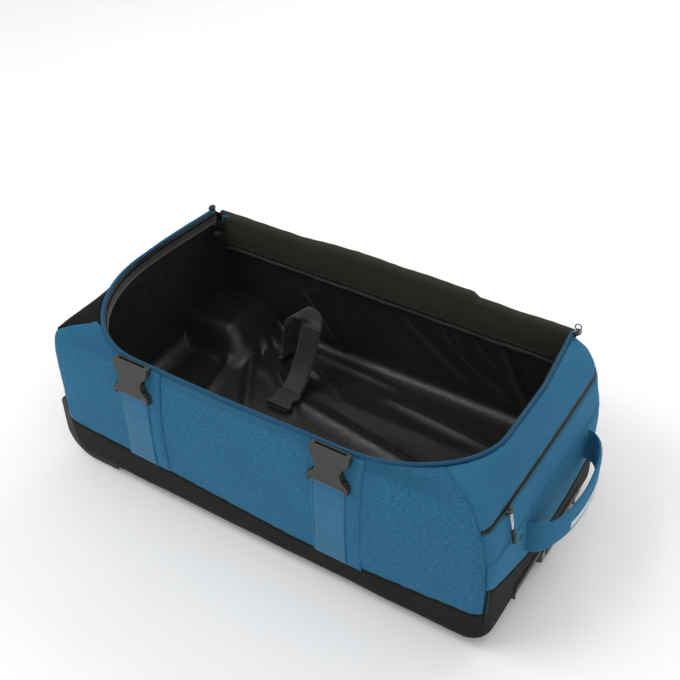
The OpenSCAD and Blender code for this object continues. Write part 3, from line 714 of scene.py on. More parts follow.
def outside_cuts(margin):
    """Keeps faces away from the wheel housings and the recess of the trolley grip."""
    def keep(c):
        housing = (c[0] < HOUSING_HI.x - margin and HOUSING_LO.y + margin < abs(c[1]) < HOUSING_HI.y - margin
                   and c[2] < (HOUSING_FACE_CUT_Z if c[0] < -HALF_L + 8 * MM else HOUSING_CUT_Z))
        grip = c[0] > RECESS_HI.x - GRIP_CUT[0] and abs(c[1]) < GRIP_CUT[1] and c[2] < GRIP_CUT[2]
        fingers = c[0] > RECESS_LO.x + 3 * MM and abs(c[1]) < FINGER_CUT[0] and c[2] < FINGER_CUT[1]
        return not (housing or grip or fingers)
    return keep


def base_band():
    cuts = outside_cuts(2 * MM)
    shell("base_band", "base", fixed(FAR_SEAM), fixed(8 + CORNER_SEAM), fixed(0.0),
          band_level, 520, 34, ["base_tray"], seed=7.0, keep=cuts, pucker=0.3 * MM)
    shell("base_band_handle_end", "base", fixed(CORNER_SEAM), fixed(FAR_SEAM), fixed(0.0),
          band_level, 220, 40, seed=8.0, keep=cuts, pucker=0.3 * MM)
    u = np.linspace(0, 8, 401)[:-1]
    edge = contour(u, BASE_Z)
    spine = np.stack([np.clip(edge[:, 0], -0.2, 0.2), np.zeros(len(u))], -1)
    t = np.linspace(0, 1, 40)
    P = edge[:, None, :] + (spine - edge)[:, None, :] * t[None, :, None]
    z = BASE_Z + 0.4 * MM * np.sin(P[..., 0] * 60) * np.sin(P[..., 1] * 70)
    P = np.concatenate([P, z[..., None]], -1)
    sheet = grid_object("base_sheet", P, cuts, closed=True)
    thicken(sheet, 2.5 * MM, offset=1.0)
    dress(sheet, "base")


# ---------------------------------------------------------------- rim, zip and far wall

def rim_points(lift=0.0, inward=0.0, span=(0.0, 1.0)):
    """Points along the rim, raised by lift and drawn in by inward."""
    t = np.gradient(RIM, axis=0)
    t /= np.linalg.norm(t, axis=1, keepdims=True)
    inner = RIM + np.stack([-t[:, 1], t[:, 0]], -1) * inward
    k0, k1 = int(span[0] * (len(RIM) - 1)), int(span[1] * (len(RIM) - 1)) + 1
    return np.concatenate([inner, (rim_height(RIM) + lift)[:, None]], -1)[k0:k1]


def rim_details():
    wavy = rim_points(lift=1.2 * MM)
    wavy[:, 2] += 0.8 * MM * np.sin(np.linspace(0, 40, len(wavy))) * np.sin(np.linspace(0, 7, len(wavy)))
    piping = tube("rim_piping_cord", wavy, 3.1 * MM, 14)
    dress(piping, "blue_piping", replaces=["rim_piping"])
    rows = [rim_points(lift=-z * MM, inward=d * MM)
            for z, d in ((-1.0, 1.5), (3, 3.2), (9, 3.6), (15, 4.4), (21, 5.2))]
    P = np.stack(rows, 1)
    P += (normals(P) * (0.7 * MM * ripple(P, 22 * MM, 3.0))[..., None])
    tape = grid_object("main_zip_tape", P)
    thicken(tape, 1.0 * MM, 1.0)
    dress(tape, "zip_tape", replaces=["body_zip_tape"])
    p, t = along(rim_points(lift=-4.5 * MM, inward=4.4 * MM), 2.6 * MM)
    up = np.array([0.0, 0.0, 1.0])
    teeth = repeated("main_zip_coil", [(o, up, x, np.cross(up, x)) for o, x in zip(p, t)],
                     pill(5.4 * MM, 1.9 * MM, 1.5 * MM))
    dress(teeth, "coil")


RIM_STITCH_FROM = 0.27                 # the blue cloth starts here along the rim


def body_stitching():
    rows = []
    for lift in (5 * MM, 9 * MM):
        line = rim_points(lift=-lift, inward=-3.2 * MM - lift * 0.25, span=(RIM_STITCH_FROM, 0.93))
        out = rim_points(inward=-1.0)[:, :2] - rim_points()[:, :2]
        k0 = int(RIM_STITCH_FROM * (len(RIM) - 1))
        nor = np.concatenate([out[k0:k0 + len(line)], np.full((len(line), 1), 0.5)], -1)
        rows.append((line, nor))
    us = np.linspace(CORNER_SEAM + 0.03, FAR_SEAM - 0.03, 40)
    for z in (ZIP_Z + 6 * MM, ZIP_Z + 11 * MM, ZIP_Z - 6 * MM, LOWER_SEAM_Z + 5 * MM, LOWER_SEAM_Z - 5 * MM):
        rows.append(surface_line(us, level(us, z), 0.5 * MM, 160))
    for shift in (-0.10, 0.10):
        hs = np.linspace(0.3, 1.9, 50)
        rows.append(surface_line(front_right(hs) + shift, hs, 0.6 * MM, 120))
    dress(stitches("body_stitching", rows), "blue_thread")
    dark = []
    for start, end, n, fine in ((-0.7, CORNER_SEAM, 80, 300), (CORNER_SEAM + 0.03, FAR_SEAM, 60, 160)):
        us = np.linspace(start, end - 0.03, n)
        dark.append(surface_line(us, level(us, band_top(us) - 5 * MM), 0.4 * MM, fine))
    hs = np.linspace(0.35, 1.95, 60)
    dark.append(surface_line(front_left(hs) - 0.07, hs, 0.5 * MM, 120))
    dress(stitches("band_stitching", dark), "dark_thread")


def far_top(x):
    """Height of the fold of cloth over the far wall, which humps up in the middle."""
    return FAR_Z + 5 * MM + 8 * MM * smooth(-0.21, -0.08, x) * (1 - smooth(0.135, 0.15, x))


FACING_Z = 0.198                      # lower edge of the facing on the far wall


def far_wall():
    x = np.linspace(RIM_LEFT + 10 * MM, RIM_RIGHT - 18 * MM, 180)
    inner_y, face_z = HALF_W - 7.5 * MM, FACING_Z
    top = far_top(x)
    section = []
    for f in np.linspace(0, 1, 14):
        section.append(np.stack([x, np.full_like(x, inner_y - 2 * MM * math.sin(math.pi * f)),
                                 face_z + (top - 8 * MM - face_z) * f], -1))
    for a in np.linspace(0.15, 1.0, 10) * math.pi:
        section.append(np.stack([x, np.full_like(x, inner_y + 7.5 * MM * (1 - math.cos(a))),
                                 top - 8 * MM + 8 * MM * math.sin(a)], -1))
    for f in np.linspace(0.2, 1, 5):
        section.append(np.stack([x, np.full_like(x, inner_y + 15 * MM), top - 8 * MM - 10 * MM * f], -1))
    P = np.stack(section, 1)
    P += normals(P) * (1.6 * MM * ripple(P, 60 * MM, 11.0) + 0.7 * MM * ripple(P, 18 * MM, 12.0))[..., None]
    fold = grid_object("hinge_fold_cloth", P)
    thicken(fold, 1.2 * MM, 1.0)
    dress(fold, "facing", replaces=["lid_hinge_fabric", "far_wall_facing"])
    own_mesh(fold)
    bind = np.stack([x, np.full_like(x, inner_y - 1.2 * MM) + 0.5 * MM * np.sin(x * 130),
                     np.full_like(x, face_z - 3.5 * MM) + 0.6 * MM * np.sin(x * 57)], -1)
    strip = tube("wall_binding", bind, 3.6 * MM, 12, flat=0.45, up=(0, 0, 1))
    dress(strip, "binding", replaces=["seam_binding"])
    rows = [(np.stack([x, np.full_like(x, inner_y - 2.0 * MM - 1.2 * MM * k), np.full_like(x, z)], -1),
             np.tile([0.0, -1.0, 0.1], (len(x), 1))) for k, z in ((1, face_z + 6 * MM), (1, face_z + 9 * MM))]
    dress(stitches("far_wall_stitching", rows, pitch=3.6 * MM), "dark_thread")


# ---------------------------------------------------------------- lining

WELL_TOP = 0.097


def lining_target(P):
    """Lifts lining points over the wheel housings and the trolley's tubes."""
    x, y, z = P[..., 0], P[..., 1], P[..., 2]
    well = (1 - smooth(-0.293, -0.225, x)) * smooth(0.07, 0.119, np.abs(y))
    rail = np.exp(-((np.abs(y) - 0.095) / 0.016) ** 2) * smooth(-0.34, -0.3, x) * (1 - smooth(0.30, 0.34, x))
    z = np.maximum(z, FLOOR_Z + (WELL_TOP - FLOOR_Z) * well + 3.5 * MM * rail * (z < 0.06))
    return np.stack([x, y, z], -1)


def creases(P):
    """Relief of the loose lining of the lid: long soft folds with sharp ridges, in metres."""
    a = ripple(P * np.array([0.8, 1.6, 1.2]), 110 * MM, 21.0)
    b = ripple(P * np.array([1.9, 0.7, 1.3]), 90 * MM, 33.0)
    sharp = (1 - np.abs(a) * 2.2).clip(0, 1) ** 2 + (1 - np.abs(b) * 2.4).clip(0, 1) ** 2
    return 5.0 * MM * sharp


# The lining's folds, each from one point to another, with its height and half width in millimetres
FAR_LEFT = (-0.285, 0.185, 0.045)
FOLDS = [
    (FAR_LEFT, (-0.09, 0.03, 0.042), 11, 17), (FAR_LEFT, (-0.16, -0.02, 0.042), 9, 15),
    (FAR_LEFT, (-0.05, 0.11, 0.042), 9, 15), (FAR_LEFT, (-0.24, -0.06, 0.042), 8, 16),
    (FAR_LEFT, (0.03, 0.17, 0.042), 7, 13),
    ((-0.12, 0.06, 0.042), (0.31, -0.01, 0.042), 8, 22), ((-0.06, -0.04, 0.042), (0.31, -0.13, 0.042), 9, 24),
    ((0.02, 0.14, 0.042), (0.33, 0.11, 0.042), 7, 18), ((-0.22, -0.13, 0.042), (0.12, -0.17, 0.042), 9, 22),
    ((-0.372, -0.08, 0.25), (-0.345, -0.06, 0.10), 9, 16), ((-0.372, 0.0, 0.25), (-0.35, -0.02, 0.09), 10, 18),
    ((-0.372, 0.08, 0.25), (-0.35, 0.05, 0.10), 8, 16), ((-0.372, 0.15, 0.24), (-0.35, 0.12, 0.12), 8, 14),
    ((-0.31, -0.19, 0.24), (-0.25, -0.12, 0.06), 12, 18), ((-0.35, -0.13, 0.22), (-0.27, -0.14, 0.10), 12, 16),
    ((-0.34, -0.10, 0.14), (-0.25, -0.05, 0.05), 10, 15), ((-0.20, 0.205, 0.18), (-0.10, 0.205, 0.06), 6, 16),
    ((0.02, 0.205, 0.18), (0.16, 0.205, 0.08), 6, 20), ((0.20, 0.205, 0.19), (0.26, 0.205, 0.06), 6, 16),
]


def folded(P):
    """Height of the lining's main folds at each point: ridges that rise steeply and die out at both ends."""
    total = np.zeros(P.shape[:-1])
    for start, end, height, width in FOLDS:
        a, b = np.array(start), np.array(end)
        t = np.clip(((P - a) @ (b - a)) / ((b - a) @ (b - a)), 0, 1)
        d = np.linalg.norm(P - (a + t[..., None] * (b - a)), axis=-1)
        profile = np.clip(1 - d / (width * MM), 0, 1) ** 1.4
        fade = np.sin(math.pi * np.clip(t * 0.9 + 0.07, 0, 1)) ** 0.6
        total = np.maximum(total, height * MM * profile * fade)
    return total


LINING_N, LINING_M = 190, 150
FLOOR_SHARE = 0.58                    # part of the sheet, from its middle to its edge, that lies on the floor


def lining_sheet():
    """The lining as one sheet, from the floor up the four walls, and how far out each of its points is."""
    a, b = np.meshgrid(np.linspace(-1, 1, LINING_N), np.linspace(-1, 1, LINING_M), indexing="ij")
    ring = np.maximum(np.maximum(np.abs(a), np.abs(b)), 1e-6)
    u = np.zeros_like(a)
    side_on = np.abs(b) >= np.abs(a)
    for pick, place, start in (((b <= 0) & side_on, a, -0.5), ((a > 0) & ~side_on, b, 1.5),
                               ((b > 0) & side_on, -a, 3.5), ((a <= 0) & ~side_on, -b, 5.5)):
        dense = np.linspace(start, start + 2, 400)
        edge = contour(dense, FLOOR_Z + 20 * MM)
        run = np.concatenate([[0], np.cumsum(np.linalg.norm(np.diff(edge, axis=0), axis=1))])
        u[pick] = np.interp((place / ring)[pick] * 0.5 + 0.5, run / run[-1], dense)
    u %= 8
    on_far = smooth(3.7, 4.0, u) * (1 - smooth(5.0, 5.3, u))
    top = (RIM_Z - 18 * MM) + (0.2 - RIM_Z + 18 * MM) * on_far
    up = np.clip((ring - FLOOR_SHARE) / (1 - FLOOR_SHARE), 0, 1)
    z = FLOOR_Z + (top - FLOOR_Z) * up
    e = contour(u, z)
    c = np.stack([np.clip(e[..., 0], -0.3, 0.3), np.zeros_like(z)], -1)
    d = c - e
    d /= np.linalg.norm(d, axis=-1, keepdims=True)
    radius = 24 * MM
    k = np.clip(radius - (z - FLOOR_Z), 0, radius)
    inward = 7 * MM + radius - np.sqrt(np.maximum(radius ** 2 - k ** 2, 0))
    reach = np.linalg.norm(rim_of(e) - e, axis=-1)
    near_rim = np.clip(reach * smooth(0.21, 0.262, z) ** 1.5 - 2 * MM, 0, None) * (1 - on_far)
    run = contour(u + 1e-3, z) - contour(u - 1e-3, z)
    square = np.stack([-run[..., 1], run[..., 0]], -1)
    square /= np.linalg.norm(square, axis=-1, keepdims=True)
    plan = e + square * inward[..., None] + d * near_rim[..., None]
    plan = plan * np.clip(ring / FLOOR_SHARE, 0, 1)[..., None]
    return lining_target(np.concatenate([plan, z[..., None]], -1)), ring


SETTLE_FRAMES = 22
SPARE_CLOTH = 0.045                   # share by which the loose lining is cut too large
LIFT_CAP = 16 * MM                    # the loose lining lifts no further than this off its walls


def simulated(name, P, pinned):
    """Loose cloth from a sheet of points: cut a little too large, held at its edge, and left to settle."""
    obj = grid_object(name, P)
    group = obj.vertex_groups.new(name="held")
    for index, weight in enumerate(pinned.ravel()):
        if weight > 0.01:
            group.add([index], float(weight), "REPLACE")
    cloth = obj.modifiers.new("cloth", "CLOTH")
    cfg = cloth.settings
    cfg.quality, cfg.mass, cfg.vertex_group_mass = 6, 0.12, "held"
    cfg.tension_stiffness = cfg.compression_stiffness = 18
    cfg.shear_stiffness, cfg.bending_stiffness = 8, 0.6
    cfg.bending_damping, cfg.tension_damping, cfg.air_damping = 0.5, 8, 3
    cfg.shrink_min = -SPARE_CLOTH
    cfg.effector_weights.gravity = 0
    cloth.collision_settings.use_collision = False
    cloth.point_cache.frame_start, cloth.point_cache.frame_end = 1, SETTLE_FRAMES
    scene = bpy.context.scene
    for step in range(1, SETTLE_FRAMES + 1):
        scene.frame_set(step)
    done = obj.evaluated_get(bpy.context.evaluated_depsgraph_get()).to_mesh()
    out = np.empty(len(done.vertices) * 3)
    done.vertices.foreach_get("co", out)
    scene.frame_set(1)
    mesh = obj.data
    bpy.data.objects.remove(obj)
    bpy.data.meshes.remove(mesh)
    return out.reshape(P.shape)


def lining():
    flat, ring = lining_sheet()
    inward = normals(flat)
    if inward[LINING_N // 2, LINING_M // 2, 2] < 0:
        inward = -inward
    hold = 1 - smooth(0.90, 0.985, ring)
    P = flat + inward * (folded(flat) * hold)[..., None]
    loose = simulated("loose_lining", P, smooth(0.955, 0.99, ring))
    rise = ((loose - flat) * inward).sum(-1)
    slide = loose - flat - inward * rise[..., None]
    slide *= np.minimum(1, 6 * MM / np.maximum(np.linalg.norm(slide, axis=-1), 1e-9))[..., None]
    rise = LIFT_CAP * np.tanh((0.7 * np.clip(rise, 0, None) + folded(flat) * hold) / LIFT_CAP)
    P = flat + slide + inward * rise[..., None]
    obj = grid_object("lining_satin", P)
    smoother = obj.modifiers.new("smooth", "SUBSURF")
    smoother.levels = smoother.render_levels = 1
    thicken(obj, 0.5 * MM, -1.0)
    dress(obj, "satin", replaces=["lining"])
    return obj


# ---------------------------------------------------------------- compression straps and buckles

def u_near(x, z):
    """u of the point at x on the front wall at height z."""
    left, right, _, _ = extents(z)
    return (x - left - CORNER_R["nl"]) / (right - CORNER_R["nr"] - left - CORNER_R["nl"])


def on_front(x, z, lift):
    """Points on the front wall at x and z, lifted off it."""
    x, z = np.broadcast_arrays(np.asarray(x, float), np.asarray(z, float))
    y = contour(np.clip(u_near(x, z), 0.01, 0.99), z)[..., 1]
    top = smooth(0.255, RIM_Z + 2 * MM, z)
    return np.stack([x, y * (1 - top) + (RIM_NEAR - rim_bow(x) - 1.5 * MM) * top - lift, z], -1)


def front_patch(name, x0, x1, z0, z1, lift, material, wall, replaces=(), seed=0.0,
                tuck=0.8 * MM):
    xs, zs = np.linspace(x0, x1, 24), np.linspace(z0, z1, 60)
    X, Z = np.meshgrid(xs, zs, indexing="ij")
    P = on_front(X, Z, lift)
    d = edge_distance(P)
    P[..., 1] += tuck * (1 - smooth(0, 3 * MM, d)) - 0.5 * MM * ripple(P, 30 * MM, seed)
    obj = grid_object(name, P)
    thicken(obj, wall)
    return dress(obj, material, replaces=replaces)


def front_rows(name, lines, **size):
    rows = []
    for (xa, za), (xb, zb), lift in lines:
        n = 60
        p = on_front(np.linspace(xa, xb, n), np.linspace(za, zb, n), lift)
        rows.append((p, np.tile([0.0, -1.0, 0.05], (n, 1))))
    return dress(stitches(name, rows, **size), "blue_thread")


def strap(side):
    lo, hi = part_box(f"strap_webbing_{side}")
    flo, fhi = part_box(f"strap_facing_{side}")
    x, w = (lo.x + hi.x) / 2, (hi.x - lo.x) / 2
    wide = 13 * MM
    band = band_top(u_near(x, 0.08))
    front_patch(f"strap_facing_cloth_{side}", flo.x + 4 * MM, fhi.x + wide, band - 2 * MM,
                RIM_Z - 1 * MM, 1.4 * MM, "blue_smooth", 1.6 * MM, [f"strap_facing_{side}"], seed=x * 9)
    front_patch(f"strap_webbing_cloth_{side}", x - w, x + w, band + 1 * MM, hi.z + 6 * MM, 3.2 * MM,
                "blue_web", 1.5 * MM, [f"strap_webbing_{side}"], seed=x * 7 + 3, tuck=0.5 * MM)
    box = 26 * MM
    xa, xb, za, zb = x - w + 5 * MM, x + w - 5 * MM, hi.z - 12 * MM - box, hi.z - 12 * MM
    a, b, c, d = (xa, za), (xb, za), (xa, zb), (xb, zb)
    lines = [(p, q, 3.7 * MM) for p, q in ((a, b), (c, d), (a, c), (b, d), (a, d), (b, c))]
    for edge in (flo.x + 7 * MM, fhi.x + wide - 4 * MM, fhi.x + wide - 9 * MM):
        lines.append(((edge, 0.10), (edge, RIM_Z - 8 * MM), 1.9 * MM))
    front_rows(f"strap_stitching_{side}", lines, pitch=3.6 * MM, length=2.6 * MM)


def in_mm(points, scale=1.0):
    return [(a * MM * scale, b * MM * scale) for a, b in points]


def solid_from(name, outline, depth, axis_y=0.0, inner=None):
    """Plate in the xz plane, from its outline (and a hole), with thickness along y."""
    bm = bmesh.new()
    loops = [outline] + ([inner] if inner is not None else [])
    edges = []
    for loop in loops:
        vs = [bm.verts.new((x, axis_y, z)) for x, z in loop]
        edges += [bm.edges.new((vs[i], vs[(i + 1) % len(vs)])) for i in range(len(vs))]
    bmesh.ops.triangle_fill(bm, use_beauty=True, use_dissolve=False, edges=edges)
    bmesh.ops.dissolve_limit(bm, angle_limit=0.01, verts=bm.verts, edges=bm.edges)
    faces = list(bm.faces)
    out = bmesh.ops.extrude_face_region(bm, geom=faces)
    for v in out["geom"]:
        if isinstance(v, bmesh.types.BMVert):
            v.co.y -= depth
    bmesh.ops.recalc_face_normals(bm, faces=bm.faces)
    mesh = bpy.data.meshes.new(name)
    bm.to_mesh(mesh)
    bm.free()
    return linked(name, mesh)


BUCKLE_TILT = math.radians(7)         # the sockets lean back with the wall behind them
MOUTH_TAPER = 0.22                    # they thin out towards the mouth


def mirrored(points):
    """Outline from its right half, mirrored about x = 0."""
    return points + [(-x, z) for x, z in reversed(points)]


def female_outline():
    """Right half of a side-release socket: square top, scooped sides, ears beside the webbing."""
    ear = [(30.5, -4), (31.5, -6), (33, -5), (33.5, 2), (32.5, 7)]
    scoop = [(32.5 - 12.5 * math.sin(math.radians(a)) ** 0.8, 7 + 34 * (a / 180)) for a in range(15, 180, 15)]
    top = [(31, 43), (32, 50), (31.5, 56), (29.5, 58), (0, 58)]
    return ear + scoop + top


def female_buckle(side):
    lo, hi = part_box(f"buckle_female_{side}")
    x, y, z = (lo.x + hi.x) / 2, hi.y, lo.z + 4 * MM

    def at(points):
        return [(x + a * MM, z + b * MM) for a, b in points]

    parts = []
    half = female_outline()
    slot_hole = [(25.5, 3), (25.5, 7.5), (-25.5, 7.5), (-25.5, 3)]
    front = mirrored([(27.5, 0.5), (28.5, 2)] + half[4:])
    parts.append(solid_from("front", at(front), 2.6 * MM, axis_y=y - 9.2 * MM))
    back = mirrored([(27.5, -3.5)] + half[1:])
    parts.append(solid_from("back", at(back), 2.4 * MM, axis_y=y, inner=at(slot_hole)))
    for s in (1, -1):
        rail = [(s * a, b) for a, b in [(23.5, 41), (32, 43), (32, 50), (31.5, 56), (30, 57.4), (25, 57.4)]]
        parts.append(solid_from("rail", at(rail), 7.0 * MM, axis_y=y - 2.3 * MM))
        ear = [(s * a, b) for a, b in [(28.8, -5.5), (30.5, -7), (33, -6), (33.5, 2), (32.5, 7), (29.0, 9),
                                       (27.5, 6)]]
        parts.append(solid_from("ear", at(ear), 10.6 * MM, axis_y=y - 0.6 * MM))
        web = [(s * a, b) for a, b in [(19.0, 9), (24, 9), (22.5, 20), (21, 26), (19.2, 26)]]
        parts.append(solid_from("web", at(web), 7.0 * MM, axis_y=y - 2.3 * MM))
    bar = mirrored([(29, 9.5), (29, 12.5)])
    parts.append(solid_from("bar", at(bar), 7.0 * MM, axis_y=y - 2.3 * MM))
    pad = mirrored([(14, 16), (15.5, 19), (15.5, 40), (14, 43)])
    parts.append(solid_from("pad", at(pad), 0.5 * MM, axis_y=y - 11.7 * MM))
    buckle = joined(f"buckle_socket_{side}", parts)
    mouth = smooth(z + 20 * MM, z + 58 * MM, np.array([v.co.z for v in buckle.data.vertices]))
    for v, f in zip(buckle.data.vertices, mouth):
        v.co.y = y + (v.co.y - y) * (1 - MOUTH_TAPER * f)
    pivot = Matrix.Translation((x, y, z))
    buckle.data.transform(pivot @ Matrix.Rotation(-BUCKLE_TILT, 4, "X") @ pivot.inverted())
    bevel(buckle, 0.7 * MM, 3)
    return dress(buckle, "buckle", f"buckle_{side}", [f"buckle_female_{side}"])


def webbing_loop(side):
    """Webbing folded round the buckle's bar, sewn down below it."""
    lo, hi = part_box(f"buckle_female_{side}")
    x, y, z = (lo.x + hi.x) / 2, hi.y, lo.z + 4 * MM
    w = 24.8 * MM
    wall_y = float(on_front(x, z - 6 * MM, 3.4 * MM)[1])
    round_bar = [(9.5, 2), (9.9, 6.6), (8.4, 8.8), (4.2, 8.9), (2.9, 5), (2.6, -2)]
    path = [(wall_y, z - 9 * MM), (wall_y - 1.8 * MM, z - 3 * MM)]
    path += [(y - a * MM, z + b * MM) for a, b in round_bar] + [(wall_y + 1.0 * MM, z - 8 * MM)]
    line = resample(smooth_path([(0.0, a, b) for a, b in path]), 50)
    xs = np.linspace(-w, w, 14)
    P = np.stack([np.stack([np.full(len(line), x + dx), line[:, 1], line[:, 2]], -1) for dx in xs], 0)
    loop = grid_object(f"webbing_loop_{side}", P)
    thicken(loop, 1.3 * MM, 0.0)
    dress(loop, "blue_web", None)
    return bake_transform(loop)


def smooth_path(points, rounds=3):
    """Chaikin's corner cutting, with the ends kept."""
    pts = np.asarray(points, float)
    for _ in range(rounds):
        q = pts[:-1] * 0.75 + pts[1:] * 0.25
        r = pts[:-1] * 0.25 + pts[1:] * 0.75
        pts = np.concatenate([pts[:1], np.stack([q, r], 1).reshape(-1, pts.shape[1]), pts[-1:]])
    return pts


def joined(name, objs):
    """One object from several, keeping their meshes as separate shells."""
    bm = bmesh.new()
    for o in objs:
        bm.from_mesh(o.data)
        mesh = o.data
        bpy.data.objects.remove(o)
        bpy.data.meshes.remove(mesh)
    mesh = bpy.data.meshes.new(name)
    bm.to_mesh(mesh)
    bm.free()
    return linked(name, mesh)


# ---------------------------------------------------------------- grab handle

def handle_bow(n):
    """Middle line of the handle's band in plan, from the near sewn end to the far one."""
    lo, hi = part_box("grab_handle_ends")
    mid_y, half = (lo.y + hi.y) / 2, (hi.y - lo.y) / 2 - 3 * MM
    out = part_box("grab_handle")[1].x - HALF_L - 4 * MM
    a = np.linspace(-math.pi / 2, math.pi / 2, n)
    x = HALF_L + 2 * MM + out * np.maximum(np.cos(a), 0) ** 0.8
    return np.stack([x, mid_y + half * np.sin(a)], -1)


def grab_handle():
    lo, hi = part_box("grab_handle_ends")
    z0, z1 = lo.z + 2 * MM, hi.z - 1 * MM
    bow = resample(handle_bow(200), 150)
    t = np.gradient(bow, axis=0)
    t /= np.linalg.norm(t, axis=1, keepdims=True)
    out = np.stack([t[:, 1], -t[:, 0]], -1)
    d = np.minimum(np.arange(150), np.arange(150)[::-1]) / 149
    waist = 1 - 0.16 * smooth(0.0, 0.22, d)
    puff = 0.4 + 0.6 * smooth(0.0, 0.12, d)
    around = []
    mid, half = (z0 + z1) / 2, (z1 - z0) / 2
    for k in range(40):
        a = 2 * math.pi * k / 40
        c, s = math.cos(a), math.sin(a)
        w = abs(s) ** 0.55 * math.copysign(1, s) * half * waist
        thick = 3.2 * MM * puff * (abs(c) ** 0.6) * math.copysign(1, c)
        around.append(np.stack([bow[:, 0] + out[:, 0] * thick, bow[:, 1] + out[:, 1] * thick, mid + w], -1))
    P = np.stack(around, 0)
    P[..., 2] -= (2.5 * MM * smooth(0.1, 0.5, d))[None, :]
    P += normals(P) * (-0.5 * MM * ripple(P, 24 * MM, 51.0))[..., None]
    P[..., 0] = np.maximum(P[..., 0], HALF_L + 0.4 * MM)
    band = grid_object("grab_handle_sleeve", P, closed=True)
    dress(band, "blue_smooth", "bag", ["grab_handle", "grab_handle_ends"])
    k = slice(46, 104)
    strip_rows = []
    for f in np.linspace(-0.62, -0.12, 8):
        zz = mid + f * half * waist[k] - 2.5 * MM * smooth(0.1, 0.5, d)[k]
        lift = 3.9 * MM
        strip_rows.append(np.stack([bow[k, 0] + out[k, 0] * lift, bow[k, 1] + out[k, 1] * lift, zz], -1))
    tape = grid_object("handle_reflective_tape", np.stack(strip_rows, 1))
    thicken(tape, 0.5 * MM)
    dress(tape, "reflective")
    rows = []
    for f in (-0.80, 0.80):
        zz = mid + f * half * waist - 2.5 * MM * smooth(0.1, 0.5, d)
        p = np.stack([bow[:, 0] + out[:, 0] * 3.4 * MM, bow[:, 1] + out[:, 1] * 3.4 * MM, zz], -1)[6:-6]
        rows.append((p, np.concatenate([out, np.zeros((150, 1))], -1)[6:-6]))
    thread = dress(stitches("handle_stitching", rows, pitch=3.8 * MM), "blue_thread")
    for piece in (band, tape, thread):
        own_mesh(piece)


# ---------------------------------------------------------------- pocket zip, pulls and eyelet

def pocket_zip():
    us = np.linspace(CORNER_SEAM + 0.02, FAR_SEAM - 0.02, 160)
    rows = [surface(us, level(us, ZIP_Z + dz * MM)) for dz in np.linspace(-7.5, 7.5, 9)]
    P = np.stack(rows, 1)
    P = P - normals(P) * (1.6 * MM)
    tape = grid_object("pocket_zip_tape", P)
    thicken(tape, 0.8 * MM)
    dress(tape, "zip_tape", replaces=["pocket_zip"])
    line, nor = surface_line(us, level(us, ZIP_Z), -0.9 * MM, 160)
    p, t = along(line, 2.0 * MM)
    z = resample(nor, len(p))
    places = [(o, np.cross(b, a), a, b) for o, a, b in zip(p, t, z)]
    places = [(o, x / np.linalg.norm(x), y, w) for o, x, y, w in places]
    dress(repeated("pocket_zip_coil", places, pill(4.6 * MM, 1.5 * MM, 1.2 * MM)), "coil")


def slider_body(name, origin, along_axis, out_axis, scale=1.0):
    """Zip slider: a waisted body under a bridge, pointing along its zip."""
    a, o = Vector(along_axis).normalized(), Vector(out_axis).normalized()
    s = a.cross(o)
    half = [(3.2, -6.5), (4.8, -3), (4.9, 3.5), (3.0, 6.5)]
    body = solid_from("b", in_mm(mirrored(half), scale), 1.1 * MM * scale)
    top = solid_from("t", in_mm(mirrored(half), scale), 1.2 * MM * scale, axis_y=-2.6 * MM * scale)
    post = solid_from("p", in_mm(mirrored([(1.2, -3.5), (1.2, 5.5)]), scale), 2.4 * MM * scale,
                      axis_y=-0.8 * MM * scale)
    pts = [(0, -3.6, -4.5), (0, -5.6, -3.4), (0, -6.4, 0), (0, -5.6, 3.4), (0, -3.6, 4.5)]
    bridge = tube("bridge", smooth_path(pts, 2) * MM * scale, 0.9 * MM * scale, 8, up=(1, 0, 0))
    obj = joined(name, [body, top, post, bridge])
    turn = Matrix((s, -o, a)).transposed().to_4x4()
    obj.data.transform(Matrix.Translation(origin) @ turn)
    bevel(obj, 0.35 * MM, 2)
    return obj


def pocket_pull():
    lo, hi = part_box("pocket_slider")
    y = (lo.y + hi.y) / 2
    plo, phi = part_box("pocket_pull")
    out = (math.cos(math.radians(12.4)), 0, math.sin(math.radians(12.4)))
    slider = slider_body("pocket_zip_slider", Vector((lo.x + 1.2 * MM, y, ZIP_Z)), (0, 1, 0), out)
    dress(slider, "zip", "zip_slider", ["pocket_slider"])
    top = np.array([lo.x + 5.6 * MM, y, ZIP_Z - 1 * MM])
    end = np.array([(plo.x + phi.x) / 2 + 4.2 * MM, y, plo.z + 1 * MM])
    grip_top = top + (end - top) * 0.5

    def bowed(side):
        pts = [top + np.array([0, side * 0.8, 1.5]) * MM, top + np.array([1.2, side * 2.0, -5]) * MM,
               top + (grip_top - top) * 0.6 + np.array([0.8, side * 1.8, 0]) * MM,
               grip_top + np.array([0, side * 0.8, 2]) * MM, grip_top + np.array([0, side * 0.6, -3]) * MM]
        return resample(smooth_path(pts, 3), 30)

    cords = joined("pull_cord", [tube("c", bowed(s), 1.0 * MM, 10, up=(0, 1, 0)) for s in (1, -1)])
    dress(cords, "cord", "zip_pull", ["pocket_pull"])
    waist = grip_top + (end - grip_top) * 0.5 + np.array([0.5, 0, 0]) * MM
    line = resample(np.stack([grip_top, waist, end]), 40)
    f = np.linspace(0, 1, 40)
    ridges = 0.22 * np.sign(np.sin(f * 2 * math.pi * 7)) * (f > 0.3) * (f < 0.9)
    r = (2.3 + 0.5 * np.sin(math.pi * f) + ridges) * MM
    r *= np.minimum(1, np.sqrt(np.clip(np.minimum(f, 1 - f) * 16, 0.05, 1)))
    grip = tube("pull_grip", line, r, 18, up=(0, 1, 0))
    dress(grip, "rubber", "zip_pull")


